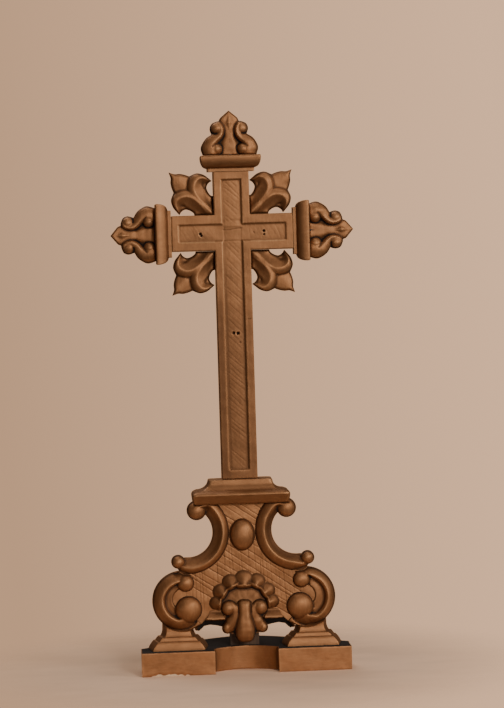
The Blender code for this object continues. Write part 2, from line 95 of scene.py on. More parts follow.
def arc(centre, radius, start, end, count):
    """Points on an arc, from one angle in degrees to another."""
    angles = np.radians(np.linspace(start, end, count + 1))
    return np.column_stack(
        [centre[0] + radius * np.cos(angles), centre[1] + radius * np.sin(angles)]
    )


def mirrored(half):
    """A closed outline from its right half, which runs from the axis back to the axis."""
    half = [tuple(point) for point in half]
    return half + [(-x, z) for x, z in reversed(half) if x > 0]


def sided(side, points):
    """Points of the right half (side 1), or their mirror images on the left (side -1)."""
    return [(side * x, z) for x, z in points]


def spline(points, steps=8, corners=(), closed=False):
    """A smooth line through points, which bends sharply at its corners."""
    points = np.array(points, float)
    count = len(points)
    path = []
    for i in range(count if closed else count - 1):
        a, b = points[i], points[(i + 1) % count]
        span = np.linalg.norm(b - a)
        leave = heading(points, i, corners, closed, b - a) * span
        arrive = heading(points, (i + 1) % count, corners, closed, b - a) * span
        for t in np.arange(steps) / steps:
            path.append(
                (2 * t**3 - 3 * t**2 + 1) * a
                + (t**3 - 2 * t**2 + t) * leave
                + (3 * t**2 - 2 * t**3) * b
                + (t**3 - t**2) * arrive
            )
    if not closed:
        path.append(points[-1])
    return np.array(path)


def heading(points, i, corners, closed, chord):
    """The direction of a smooth line at one of its points."""
    count = len(points)
    if i in corners or (not closed and i in (0, count - 1)):
        return chord / np.linalg.norm(chord)
    before, after = points[i] - points[i - 1], points[(i + 1) % count] - points[i]
    return (before + after) / (np.linalg.norm(before) + np.linalg.norm(after))


def nearest(x, z, path):
    """How far each point is from a line, on which side (+1 left) and how far along it."""
    best = np.full(x.shape, np.inf)
    side, along = np.zeros(x.shape), np.zeros(x.shape)
    for i, (start, step) in enumerate(zip(path[:-1], np.diff(path, axis=0))):
        length = max(step @ step, 1e-12)
        px, pz = x - start[0], z - start[1]
        share = np.clip((px * step[0] + pz * step[1]) / length, 0, 1)
        gap = (px - share * step[0]) ** 2 + (pz - share * step[1]) ** 2
        closer = gap < best
        best = np.where(closer, gap, best)
        side = np.where(closer, np.sign(step[0] * pz - step[1] * px), side)
        along = np.where(closer, i + share, along)
    return np.sqrt(best), side, along


def within(x, z, outline):
    """How far inside a closed outline each point is, negative outside."""
    path = np.vstack([outline, outline[:1]])
    inside = np.zeros(x.shape, bool)
    for (x0, z0), (x1, z1) in zip(path[:-1], path[1:]):
        if z0 != z1:
            across = x < x0 + (z - z0) * (x1 - x0) / (z1 - z0)
            inside ^= ((z0 <= z) != (z1 <= z)) & across
    distance = nearest(x, z, path)[0]
    return np.where(inside, distance, -distance)


def disc(x, z, centre, radius):
    return radius - np.hypot(x - centre[0], z - centre[1])


def slab(x, z, low, high):
    """How far inside an upright rectangle each point is."""
    return np.minimum.reduce([x - low[0], high[0] - x, z - low[1], high[1] - z])


def eased(value, low, high):
    """0 below low, 1 above high and smooth between them."""
    share = np.clip((value - low) / (high - low), 0, 1)
    return share * share * (3 - 2 * share)


def wander(x, z, seed, size, amount):
    """Slow waves of about this size, which keep a worked surface from looking machined."""
    draw = np.random.default_rng(seed)
    total = np.zeros(np.shape(x))
    for _ in range(WAVES):
        turn, phase = draw.uniform(0, math.tau, 2)
        pitch = math.tau / (size * draw.uniform(0.6, 1.6))
        total += np.sin(pitch * (x * math.cos(turn) + z * math.sin(turn)) + phase)
    return amount * total / math.sqrt(WAVES)


def blur(values, sigma, mask):
    """A Gaussian blur that only mixes the points in the mask."""
    reach = max(1, math.ceil(2.5 * sigma))
    weights = np.exp(-0.5 * (np.arange(-reach, reach + 1) / sigma) ** 2)
    total, share = np.where(mask, values, 0.0), mask.astype(float)
    for axis in (0, 1):
        total, share = (
            sum(
                weight * np.roll(part, offset, axis)
                for weight, offset in zip(weights, range(-reach, reach + 1))
            )
            for part in (total, share)
        )
    return np.where(share > 1e-6, total / np.maximum(share, 1e-6), values)


# ---------------------------------------------------------------- how a stroke falls away


def roll(q):
    return np.sqrt(np.clip(1 - q * q, 0, 1))


def bell(q):
    return np.cos(np.clip(q, 0, 1) * math.pi / 2) ** 2


def slope(q):
    return 1 - q


def trough(q):
    """Steepest beside the ridge, and easing all the way."""
    return (1 - q) ** 1.6


def scoop(q):
    """Steep beside the ridge, then nearly flat."""
    return (1 - q) ** 2.1


def flank(q):
    """Leans away from the ridge more and more."""
    return 1 - q**1.75


def loaf(q):
    """Broad and nearly flat on top, with steep sides."""
    return np.sqrt(np.clip(1 - q**3, 0, 1))


def gutter(q):
    """Drops steeply beside the ridge, then climbs gently to its far edge."""
    drop = np.cos(np.clip(q / 0.3, 0, 1) * math.pi / 2) ** 1.6
    return np.where(q < 0.3, drop, 0.0) + 0.26 * np.clip((q - 0.22) / 0.78, 0, 1) ** 1.4


class Relief:
    """Heights over a grid of x and z, and how far inside the carving's outline each point is."""

    def __init__(self, low, high, back, base, step=GRID):
        margin = 4 * step
        xs = np.arange(low[0] - margin, high[0] + margin + step, step)
        zs = np.arange(low[1] - margin, high[1] + margin + step, step)
        self.x, self.z = np.meshgrid(xs, zs)
        self.step, self.back = step, back
        self.inside = np.full(self.x.shape, -1e3)
        self.height = np.full(self.x.shape, float(base))
        # dirt and painted shade added to the hollows; negative values paint a highlight
        self.grime_and_shade = np.zeros(self.x.shape)
        self.rim = None  # the distance from the true edge, where a neighbour carries on past it
        self.surface = None  # the heights before they were cut back behind a neighbour

    def add_area(self, inside):
        self.inside = np.maximum(self.inside, inside)

    def remove_area(self, inside):
        self.inside = np.minimum(self.inside, -inside)

    def outline(self, outline):
        self.add_area(within(self.x, self.z, np.array(outline)))

    def raise_to(self, height, where=True):
        self.height = np.where(where, np.maximum(self.height, height), self.height)

    def stroke(self, points, left, right, ridge, edges, shapes=(roll, roll), over=False):
        """A ridge along points. Widths, ridge and edge heights are one number or one a point.

        Edges and shapes are for the left and the right of the way that the stroke runs. It
        raises the surface, or with over it replaces what was there.
        """
        steps = 8
        distance, side, along = nearest(self.x, self.z, spline(points, steps))
        marks = np.arange(len(points)) * steps

        def here(values):
            return np.interp(along, marks, np.broadcast_to(values, len(points)))

        for turn, width, edge, shape in zip((1, -1), (left, right), edges, shapes):
            share = distance / np.maximum(here(width), 1e-6)
            low = here(edge)
            height = low + (here(ridge) - low) * shape(np.clip(share, 0, 1))
            touched = (share <= 1) & ((side >= 0) == (turn > 0))
            if over:
                self.height = np.where(touched, height, self.height)
            else:
                self.raise_to(height, touched)

    def dome(self, centre, radii, top, edge):
        """A rounded boss, with one radius or two."""
        wide, high = np.broadcast_to(radii, 2)
        q = np.hypot((self.x - centre[0]) / wide, (self.z - centre[1]) / high)
        self.raise_to(edge + (top - edge) * np.clip(1 - q * q, 0, 1) ** 0.5, q <= 1)

    def lower_to(self, height, where=True):
        """Cuts back what a neighbour hides, and leaves the finish as if it carried on."""
        self.surface = self.height
        self.height = np.where(where, np.minimum(self.height, height), self.height)

    def groove(self, points, width, depth):
        """A V cut along a line of points, which fades out at both ends."""
        path = np.array(points, float)
        distance, _, along = nearest(self.x, self.z, path)
        ends = len(path) - 1
        fade = eased(np.minimum(along, ends - along), -0.02, 0.12)
        cut = depth * fade * np.clip(1 - distance / width, 0, 1)
        self.height, self.grime_and_shade = self.height - cut, self.grime_and_shade + 0.9 * cut

    def pit(self, centre, radius, depth):
        """A round hole."""
        into = eased(disc(self.x, self.z, centre, radius), -0.35, 0.35)
        self.height = self.height - depth * into

    def edge_distance(self):
        return self.inside if self.rim is None else self.rim

    def round_rim(self, radius, drop):
        """Rolls the surface down beside the outline."""
        share = 1 - np.clip(self.edge_distance() / radius, 0, 1)
        self.height = self.height - drop * (1 - np.sqrt(1 - share * share))

    def soil_edges(self, width, amount):
        """Dirt gathers down the sides of a carving."""
        self.grime_and_shade = self.grime_and_shade + amount * (1 - eased(self.edge_distance(), 0, width))

    def soften(self, sigma):
        self.height = blur(self.height, sigma / self.step, self.inside > -2 * self.step)

    def worked(self, seed, amount, size):
        """The slow unevenness of hand work."""
        self.height = self.height + wander(self.x, self.z, seed, size, amount)

    def finish(self, rim, soil, seed, waves, soft):
        """What every carving ends with: its rim, the dirt down its sides and its unevenness."""
        self.round_rim(*rim)
        self.soil_edges(*soil)
        self.worked(seed, *waves)
        self.soften(soft)

    def shape(self, flip=False):
        """The vertices, faces and hollows of the closed mesh that follows the relief."""
        least = 0.14 * self.step
        inside = np.where(
            np.abs(self.inside) < least, np.where(self.inside < 0, -least, least), self.inside
        )
        edges = (slice(0, None, inside.shape[0] - 1), slice(0, None, inside.shape[1] - 1))
        inside[edges[0], :] = -1
        inside[:, edges[1]] = -1
        solid = inside > 0
        surface = self.height if self.surface is None else self.surface
        wide = blur(surface, CAVITY_SIZE / self.step, self.inside > -self.step)
        hollow = (wide - surface) * (0.35 + 0.65 * eased(self.edge_distance(), 0, 2.6))
        # this adds dirt, painted shade and, where negative, a painted highlight
        hollow = hollow + self.grime_and_shade
        index = np.full(solid.shape, -1)
        index[solid] = np.arange(solid.sum())
        points = [
            np.column_stack([self.x[solid], -self.height[solid], self.z[solid], hollow[solid]])
        ]
        rim, rim_at = [], {}
        first = int(solid.sum())

        def crossing(a, b):
            """The vertex where the outline crosses the grid line from a to b."""
            key = (a, b) if a < b else (b, a)
            if key not in rim_at:
                a, b = key
                share = inside[a] / (inside[a] - inside[b])
                rim_at[key] = first + len(rim)
                rim.append([
                    self.x[a] + share * (self.x[b] - self.x[a]),
                    -(self.height[a] + share * (self.height[b] - self.height[a])),
                    self.z[a] + share * (self.z[b] - self.z[a]),
                    hollow[a] + share * (hollow[b] - hollow[a]),
                ])
            return rim_at[key]

        corners = [solid[:-1, :-1], solid[:-1, 1:], solid[1:, 1:], solid[1:, :-1]]
        count = sum(corner.astype(int) for corner in corners)
        whole = count == 4
        ring = [index[:-1, :-1], index[:-1, 1:], index[1:, 1:], index[1:, :-1]]
        faces = np.column_stack([corner[whole] for corner in ring]).tolist()
        follows = {}
        for j, i in np.argwhere((count > 0) & (count < 4)):
            cell = [(j, i), (j, i + 1), (j + 1, i + 1), (j + 1, i)]
            cell = [(int(a), int(b)) for a, b in cell]
            face, leaving = [], []
            for here, after in zip(cell, cell[1:] + cell[:1]):
                if solid[here]:
                    face.append(int(index[here]))
                if solid[here] != solid[after]:
                    face.append(crossing(here, after))
                    if solid[here]:
                        leaving.append(len(face) - 1)
            faces.append(face)
            for place in leaving:
                follows[face[place]] = face[(place + 1) % len(face)]
        points.append(np.array(rim))
        behind = points[1].copy()
        behind[:, 1] = -self.back
        behind[:, 3] = 0
        points.append(behind)
        offset = len(rim)
        for a, b in follows.items():
            faces.append([a, a + offset, b + offset, b])
        faces += [[v + offset for v in reversed(loop)] for loop in loops(follows)]
        points = np.vstack(points)
        if flip:
            points[:, 0] *= -1
            faces = [face[::-1] for face in faces]
        return points[:, :3], faces, points[:, 3]


def loops(follows):
    """The closed rings in a map from each vertex to the next."""
    left = dict(follows)
    found = []
    while left:
        start, here = left.popitem()
        ring = [start]
        while here != start:
            ring.append(here)
            here = left.pop(here)
        found.append(ring)
    return found


# ---------------------------------------------------------------- from shapes to pieces


def piece(name, points, faces, hollow, finish, body, stands_for=(), place=None, chip=None):
    """One visible piece, from points in millimetres."""
    mesh = bpy.data.meshes.new(name)
    mesh.from_pydata((points * MM).tolist(), [], faces)
    if place is not None:
        mesh.transform(place)
    # the hollow attribute carries patina and dirt, and also painted shade and painted highlight
    mesh.attributes.new("hollow", "FLOAT", "POINT").data.foreach_set(
        "value", hollow.astype(np.float32)
    )
    if chip is not None:
        mesh.attributes.new("chip", "FLOAT", "POINT").data.foreach_set(
            "value", chip.astype(np.float32)
        )
    mesh.materials.append(finish)
    mesh.update()
    mesh.shade_smooth()
    mesh.set_sharp_from_angle(angle=SHARP)
    made = bpy.data.objects.new(name, mesh)
    bpy.context.scene.collection.objects.link(made)
    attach(made, body)
    if stands_for:
        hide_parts(*stands_for)
    return made


def carved(name, relief, finish, body="stand", flip=False, place=None):
    """The piece that a relief makes, standing for the CAD node of the same name."""
    points, faces, hollow = relief.shape(flip)
    if body == "stand":
        place = RAISED
    return piece(name, points, faces, hollow, finish, body, (name,), place)


def dished(points, faces, rounds):
    """How much deeper each vertex lies than the surface round it, in millimetres."""
    pairs = {
        (min(a, b), max(a, b))
        for face in faces
        if len(face) < 9  # not across a solid's flat ends
        for a, b in zip(face, face[1:] + face[:1])
    }
    a, b = np.array(sorted(pairs)).T
    weight = 1 / np.maximum(np.linalg.norm(points[a] - points[b], axis=1), 0.2)
    smooth = points.copy()
    for _ in range(rounds):
        total, share = np.zeros_like(points), np.zeros(len(points))
        for here, there in ((a, b), (b, a)):
            np.add.at(total, here, weight[:, None] * smooth[there])
            np.add.at(share, here, weight)
        smooth = 0.5 * smooth + 0.5 * total / np.maximum(share, 1e-9)[:, None]
    mesh = bpy.data.meshes.new("normals")
    mesh.from_pydata(points.tolist(), [], faces)
    normals = np.zeros(len(points) * 3)
    mesh.vertex_normals.foreach_get("vector", normals)
    bpy.data.meshes.remove(mesh)
    normals = normals.reshape(-1, 3)
    return ((smooth - points) * normals).sum(1), normals


def lofted(levels, ring_at):
    """Points and faces of a closed solid, from (height, size...) levels and the ring of a size."""
    rings = []
    for up, *size in levels:
        ring = ring_at(*size)
        rings.append(np.column_stack([ring, np.full(len(ring), up)]))
    count = len(rings[0])
    points = np.vstack(rings)
    around = np.arange(count)
    faces = []
    for level in range(len(rings) - 1):
        a, b = level * count + around, level * count + (around + 1) % count
        faces += np.column_stack([a, b, b + count, a + count]).tolist()
    faces.append(list(range(count))[::-1])
    faces.append(list(range(len(points) - count, len(points))))
    return points, faces


def softened(profile, step=0.45, sigma=0.55):
    """A profile's points at even steps, with its corners rubbed round."""
    profile = np.array(profile, float)
    length = np.r_[0, np.cumsum(np.linalg.norm(np.diff(profile, axis=0), axis=1))]
    marks = np.linspace(0, length[-1], max(8, round(length[-1] / step)))
    even = np.column_stack([np.interp(marks, length, column) for column in profile.T])
    reach = max(1, math.ceil(2.5 * sigma / step))
    weights = np.exp(-0.5 * (np.arange(-reach, reach + 1) * step / sigma) ** 2)
    weights /= weights.sum()
    before, after = 2 * even[0] - even[reach:0:-1], 2 * even[-1] - even[-2 : -reach - 2 : -1]
    padded = np.vstack([before, even, after])
    return np.column_stack([np.convolve(column, weights, "valid") for column in padded.T])


BARE_AND_SHADE = 2.0  # stands in a piece's hollows for a near-black surface: painted shade, on a surface also taken as without gilding
SPANS = (7, 26, 7, 12)  # how many parts each side of a moulding's ring is in


def block_ring(left, right, front, back, splay, radius):
    """A block's outline from above, with rounded corners and a back that is wider by splay."""
    corners = [(left - splay, back), (left, front), (right, front), (right + splay, back)]
    points = []
    for i, here in enumerate(corners):
        here = np.array(here, float)
        before = np.array(corners[i - 1], float)
        after = np.array(corners[(i + 1) % 4], float)
        into = (here - before) / np.linalg.norm(here - before)
        out = (after - here) / np.linalg.norm(after - here)
        for t in (0, 0.25, 0.5, 0.75, 1):
            a, b = here - into * radius, here + out * radius
            points.append((1 - t) ** 2 * a + 2 * t * (1 - t) * here + t * t * b)
        run = np.linalg.norm(after - here) - 2 * radius
        for t in np.arange(1, SPANS[i]) / SPANS[i]:
            points.append(here + out * (radius + run * t))
    return np.array(points)


def moulding(name, sections, back, finish, body, seed, place=None, worn=0.12, corner=0.9):
    """A moulded block from (height up, half width, front) sections, softened by gesso and wear."""
    points, faces = lofted(
        softened(sections),
        lambda half, front: block_ring(-half, half, -front, -back, 0, corner),
    )
    hollow, normals = dished(points, faces, 14)
    swing = wander(points[:, 0] + points[:, 1], points[:, 2] * 0.4, seed, 26, worn)
    points = points + normals * swing[:, None]
    return piece(name, points, faces, hollow, finish, body, (name,), place)


# ---------------------------------------------------------------- the cross


CENTRE = Matrix.Translation((0, 0, CROSSING * MM))
ARMS = {"top": 0, "right": 90, "left": -90}
LEAVES = {"upper_right": 0, "lower_right": 90, "lower_left": 180, "upper_left": 270}
CHANNEL_HALF, CHANNEL_DEPTH = 12.4, 1.75  # the sunk panel of the upright
RAIL_GROOVE_HALF, RAIL_GROOVE_DEPTH = 10.8, 1.4  # and of the crossbar
CHANNEL_ENDS = SHOULDER + 11.5, UPRIGHT_HIGH[2] - 9.9
RAIL = (CROSSING - RAIL_GROOVE_HALF, CROSSING + RAIL_GROOVE_HALF)
BEVEL = 2.4  # how wide a sunk panel's sloping walls are
HATCH_PITCH, HATCH_LEAN, HATCH_DEPTH = 6.8, -0.98, 0.2
BOARD_SEED = 3


def turned(angle):
    return CENTRE @ Matrix.Rotation(math.radians(angle), 4, "Y")


def hatch(relief, low, high, half, seed):
    """Slanting gouge cuts down a panel, uneven in place, length, lean and depth."""
    draw = np.random.default_rng(seed)
    level = low
    while level < high:
        level += HATCH_PITCH * draw.uniform(0.72, 1.32)
        fall = HATCH_LEAN * draw.uniform(0.85, 1.12)
        strong = HATCH_DEPTH * draw.choice((1.0, 1.0, 0.55, 0.3))
        a, b = -half * draw.uniform(0.7, 1.02), half * draw.uniform(0.55, 1.02)
        bow = draw.uniform(-0.5, 0.5)
        points = [(a, level + fall * a), (0.0, level + bow), (b, level + fall * b)]
        relief.groove(points, draw.uniform(0.7, 1.1), strong)


def sunk(relief, low, high, depth):
    """How far a sloping-sided sunk panel lowers each point."""
    return depth * eased(slab(relief.x, relief.z, low, high), -BEVEL * 0.45, BEVEL * 0.75)


def both_boards(relief):
    """How far inside the outline of the two joined boards each point is."""
    off = relief.z - CROSSING
    upright = slab(relief.x, relief.z, (-HALF, SHOULDER), (HALF, UPRIGHT_HIGH[2]))
    return np.maximum(upright, slab(relief.x, off, (-ARM, -HALF), (ARM, HALF)))


def crown(across, half, amount):
    """A panel's floor swells a little along its middle."""
    return amount * np.clip(1 - (across / half) ** 2, 0, 1)


def paint_lit_wall(relief, distance, where):
    """Paints a sunk panel's sloping wall bright, from the distance to the wall's middle: a painted
    highlight on a wall that faces the light.
    """
    relief.grime_and_shade = relief.grime_and_shade - 0.6 * bell(distance / 1.7) * where


def finish_board(relief):
    """Both boards wear as one, so that their joint hardly shows."""
    relief.rim = both_boards(relief)
    relief.round_rim(1.0, 0.6)
    relief.worked(BOARD_SEED, 0.13, 30)
    relief.soften(0.42)


def carve_upright(finish):
    low, high = (-HALF, SHOULDER + SEAM), (HALF, UPRIGHT_HIGH[2])
    relief = Relief(low, high, BACK + SEAM, FRONT)  # the crossbar lies just behind it at the joint
    relief.add_area(slab(relief.x, relief.z, low, high))
    middle = relief.z - CROSSING
    bottom, top = CHANNEL_ENDS
    channel = sunk(relief, (-CHANNEL_HALF, bottom), (CHANNEL_HALF, top), CHANNEL_DEPTH)
    rail = sunk(relief, (-ARM, RAIL[0]), (ARM, RAIL[1]), RAIL_GROOVE_DEPTH)
    floor = crown(relief.x, CHANNEL_HALF, 0.55) * (channel > 0.9 * CHANNEL_DEPTH)
    relief.height = relief.height - np.maximum(channel, rail) + floor
    hatching = Relief(low, high, 0, 0)
    hatch(hatching, SHOULDER + 12, high[1] - 18, CHANNEL_HALF - 1.2, 11)
    here = eased(channel, 0.75 * CHANNEL_DEPTH, 0.97 * CHANNEL_DEPTH)
    apart = eased(np.abs(middle), RAIL_GROOVE_HALF - 1, RAIL_GROOVE_HALF + 2)
    relief.height = relief.height + hatching.height * here * apart
    # the joint's soft ridges and its crack
    ridge = 0.34 * bell(np.abs(middle - 8.8) / 3.4) - 0.22 * bell(np.abs(middle - 14.5) / 3.2)
    ridge = ridge - 0.25 * bell(np.abs(middle + 10.6) / 1.6)
    relief.height = relief.height + ridge * here
    crack = ((-12.6, 3.4), (-4, 3.2), (4, 4.6), (13, 5.2))
    relief.groove([(x, CROSSING + z) for x, z in crack], 0.8, 0.34)
    for x, z, radius in ((-2.1, -126.4, 1.0), (3.3, -126.8, 1.3), (5.6, -138.6, 0.8)):
        relief.pit((x, CROSSING + z), radius, 5.0 if radius > 0.9 else 0.6)
    relief.groove([(15.5, CROSSING - 109.5), (20.5, CROSSING - 108.8)], 1.0, 0.3)
    # painted highlight on the channel's left wall, which faces the light
    along = (relief.z > bottom) & (relief.z < top)
    paint_lit_wall(relief, np.abs(relief.x + CHANNEL_HALF), along & (np.abs(middle) > RAIL_GROOVE_HALF))
    # the shaft is dirtier than the arms, and most of all along its left rail
    handled = eased(-middle, 40, 110) * (0.24 + 0.2 * eased(-relief.x, 6, 16))
    relief.grime_and_shade = relief.grime_and_shade + handled
    finish_board(relief)
    carved("upright", relief, finish, "cross")


def carve_crossbar(finish):
    """The two arms. Behind the upright the bar is cut back, as the halving leaves it."""
    low, high = (-ARM, CROSSING - HALF), (ARM, CROSSING + HALF)
    relief = Relief(low, high, BACK, FRONT - 0.03)
    relief.add_area(slab(relief.x, relief.z, low, high))
    off = relief.z - CROSSING
    end = ARM - 9.1
    rail = sunk(relief, (-end, RAIL[0]), (end, RAIL[1]), RAIL_GROOVE_DEPTH)
    floor = crown(off, RAIL_GROOVE_HALF, 0.45) * (rail > 0.9 * RAIL_GROOVE_DEPTH)
    relief.height = relief.height - rail + floor
    # painted highlight on the groove's lower wall and on its left end, which face the light
    paint_lit_wall(relief, np.abs(off + RAIL_GROOVE_HALF), np.abs(relief.x) < end)
    paint_lit_wall(relief, np.abs(relief.x + end), np.abs(off) < RAIL_GROOVE_HALF)
    draw = np.random.default_rng(21)
    for side in (-1, 1):
        for step in range(7):
            x = side * (26 + 6.2 * step + draw.uniform(-1.5, 1.5))
            lean = draw.uniform(3.5, 8.5)
            middle = (x + draw.uniform(-1, 1), CROSSING)
            points = [(x - lean, CROSSING + 9), middle, (x + lean, CROSSING - 9)]
            relief.groove(points, 0.9, 0.13 * draw.uniform(0.4, 1.3))
    nails = ((-40.4, -1.0, 1.15), (-39.2, -3.3, 0.9), (39.6, 0.9, 1.0), (39.8, -3.4, 0.6))
    for x, z, radius in nails:
        relief.pit((x, CROSSING + z), radius, 5.0)
    relief.groove([(26.0, CROSSING + 0.5), (28.2, CROSSING - 2.0)], 0.8, 0.4)
    finish_board(relief)
    relief.lower_to((FRONT + BACK) / 2 - SEAM, np.abs(relief.x) < HALF - 0.5)
    carved("crossbar", relief, finish, "cross")


def carve_leaf(name, angle, finish, seed):
    """A corner leaf between two arms, laid out from the corner along both of them."""
    edge = [(0.3, 24), (3.2, 25), (6.9, 30.3), (8.0, 35.7), (5.3, 40.5), (1.4, 43)]
    edge += [(5.3, 46.3), (11.7, 51), (20.3, 53), (29.5, 49.5), (35.2, 51.7), (41.6, 53)]
    edge += [(48, 52.7)]
    outline = [(0.3, 0.3)] + edge + [(55, 55)] + [(b, a) for a, b in reversed(edge)]
    outline = spline(outline, 6, {0, 1, 6, 10, 14, 18, 22, 27}, True)
    relief = Relief((0, 0), (55.5, 55.5), -LEAF_HIGH[1], 8.6, FINE_GRID)
    relief.outline(outline)
    a, b = relief.x, relief.z
    along, off = (a + b) / math.sqrt(2), (a - b) / math.sqrt(2)
    # the blade at the tip swells along its middle and thins to its edges
    relief.raise_to(8.6 + 1.8 * bell(np.abs(off) / 17) * eased(along, 38, 52))
    petal = [(2.4, 8.5), (8, 12.6), (14.5, 18), (20, 24.5), (23.4, 32), (22.8, 39.5), (19, 44.8)]
    petal += [(13.8, 46.6), (8.4, 45.6), (4, 43.6)]
    inner = [3, 7, 11, 15, 18, 17.5, 14, 10, 6, 2]
    outer = [7, 8, 8.6, 9, 8.8, 8.8, 9.2, 6.6, 6, 2.4]
    crest = [12.2, 13.2, 14.2, 15, 15.4, 15.4, 15, 14.2, 13, 11.4]
    for turned_over in (False, True):
        path = [(q, p) for p, q in petal] if turned_over else petal
        sides = (outer, inner) if turned_over else (inner, outer)
        floors = (8.6, 8.8) if turned_over else (8.8, 8.6)
        shapes = (roll, trough) if turned_over else (trough, roll)
        relief.stroke(path, *sides, crest, floors, shapes)
    spine, wide = [(p, p) for p in (-1, 8, 16, 23, 29)], [9, 8.5, 8, 6.5, 3]
    relief.stroke(spine, wide, wide, [12.6, 13.6, 14.0, 12.8, 11.2], (9.5, 9.5), (bell, bell))
    relief.finish((3.4, 3.6), (6, 0.45), seed, (0.2, 18), 0.8)
    place = turned(angle) @ Matrix.Translation((HALF * MM, 0, HALF * MM))
    carved(name, relief, finish, "cross", place=place)


def carve_finial(name, angle, finish, seed):
    """A finial on an end cap: x across it and z out from the cap."""
    half = [(33.5, 0), (36, 9.7), (33, 17), (28.5, 22.5), (22, 26.5), (24, 33.5)]
    half += [(22, 39.5), (16, 42.5), (12.5, 43), (11, 46.5), (6, 51), (0, 56)]
    outline = spline(mirrored(half), 6, {0, 4, 8, 11, 14, 18, 22}, True)
    relief = Relief((-37, 0), (37, 56.5), -FINIAL_HIGH[1], 8.5, FINE_GRID)
    relief.outline(outline)
    # a flat field runs up between the scrolls and swells into the leaf at the tip
    field = np.interp(relief.z, [0, 14, 24, 32, 40, 56], [15, 11, 7, 8, 14, 16])
    relief.raise_to(8.5 + 2.7 * np.clip(1 - (relief.x / field) ** 4, 0, 1))
    relief.stroke([(0, 32), (0, 41), (0, 55.5)], [5, 12.5, 1.5], [5, 12.5, 1.5],
                  [11.4, 13.0, 10.4], (8, 8), (slope, slope))
    scroll = [(16, 40), (12.2, 39.4), (9.4, 35), (8.8, 29.5), (10.4, 25), (14, 21.2), (18.6, 18)]
    scroll += [(22, 14), (23, 9), (22.6, 4)]
    outer = [3, 4.5, 7, 8, 8.5, 9, 10.5, 12.5, 13, 12.5]
    inner = [2, 2.4, 2.6, 2.6, 2.8, 3.4, 5, 8, 10, 10]
    crest = [15, 16.2, 17, 17.2, 17.2, 17.4, 17.8, 18.4, 18.8, 18.4]
    for side in (1, -1):
        path = sided(side, scroll)
        # the stroke runs in at the top, over and down the inner side, then out to the foot
        sides = (outer, inner) if side > 0 else (inner, outer)
        relief.stroke(path, *sides, crest, (8.5, 8.5), (roll, roll))
        relief.dome((side * 15.4, 33.8), 7.8, 17.4, 10)
        relief.dome((side * 16.6, 7.8), 7.2, 18.8, 12)
        relief.groove(sided(side, [(9.4, 13.5), (9.0, 8), (10.4, 1.5)]), 1.2, 0.8)
        relief.groove(sided(side, [(16, 14.6), (19.6, 13.4), (22.4, 10.5)]), 1.6, 0.7)
        relief.groove(sided(side, [(15, 27.6), (17.5, 27.0), (21, 27.8)]), 1.6, 1.2)
    relief.finish((2.4, 2.0), (6, 0.36), seed, (0.2, 16), 0.65)
    place = turned(angle) @ Matrix.Translation((0, 0, (CAP_END + SEAM) * MM))
    carved(name, relief, finish, "cross", place=place)


def overhang(half):
    """How far forward a moulding of this half width stands: less far than it does sideways."""
    return FRONT + 0.64 * (half - HALF)


def end_cap_profile():
    """(distance from the crossing, half width) through a fillet and a full round cushion."""
    profile = [(ARM + SEAM, 29.5), (ARM + 4.4, 29.5), (ARM + 4.8, 31.2)]
    for turn in np.radians(np.linspace(78, 0, 10)):
        out = CAP_END - 2.0 - (CAP_END - ARM - 7.2) * math.sin(turn)
        profile.append((out, 31.5 + 6.4 * math.cos(turn)))
    profile += [(CAP_END - 0.7, 37.7), (CAP_END, 36.9)]
    widest = 37.9
    return [(out, half, overhang(widest) - 1.12 * (widest - half)) for out, half in profile]


def make_tenon(finish):
    """The tongue under the upright that drops into the foot, with a chamfered end."""
    low = UPRIGHT_LOW[2]
    profile = [(low, 12.4, 12.2), (low + 2.4, 15, 14), (SHOULDER + 0.6, 15, 14)]
    points, faces = lofted(
        softened(profile, 1.5, 0.6),
        lambda half, front: block_ring(-half, half, -front, -(14 - front), 0, 0.7),
    )
    hollow, _ = dished(points, faces, 10)
    piece("tenon", points, faces, hollow, finish, "cross")


def make_cross(finishes):
    carve_upright(finishes["board"])
    carve_crossbar(finishes["board"])
    make_tenon(finishes["wood"])
    for seed, (word, angle) in enumerate(ARMS.items()):
        moulding(f"end_cap_{word}", end_cap_profile(), BACK, finishes["cushion"], "cross",
                 30 + seed, turned(angle))
        carve_finial(f"finial_{word}", angle, finishes["carving"], 40 + seed)
    for seed, (word, angle) in enumerate(LEAVES.items()):
        carve_leaf(f"corner_leaf_{word}", angle, finishes["carving"], 50 + seed)


# ---------------------------------------------------------------- the foot's carvings


C_SCROLL, C_INNER, C_OUTER, C_ENDS = (68.5, 171.5), 31.5, 52.2, (119, 275)
TOP_CURL, TOP_CURL_RADIUS = (56.5, 199.0), 12.2
LOW_CURL, LOW_CURL_RADIUS = (81.5, 135.3), 8.5
VOLUTE, VOLUTE_RADIUS = (77.5, 86.0), 37.8
VOLUTE_EYE, VOLUTE_EYE_RADIUS = (77.0, 88.0), 12.5
UPPER_BALL, UPPER_BALL_RADIUS = (72.7, 108.0), 10.7
LOWER_BALL, LOWER_BALL_RADIUS = (70.0, 75.0), 17.0
SHELL, SHELL_RADIUS = (0.0, 78.0), 44.5
RIGHT_LOBES = ((6, 9), (31, 10), (60, 10.5), (90, 12.5))  # (angle, radius), to the middle one
SHELL_LOBES = RIGHT_LOBES + tuple((180 - angle, radius) for angle, radius in RIGHT_LOBES[:-1])
CAP_NOSE_HALF = CAP_HIGH[0] - 3
PANEL_FLOOR = 72.0
# the carver's two sides differ: the right and the left ridge run a little further in or out
C_RIBS, VOLUTE_RIBS = (40.4, 43.6), (28.0, 24.6)


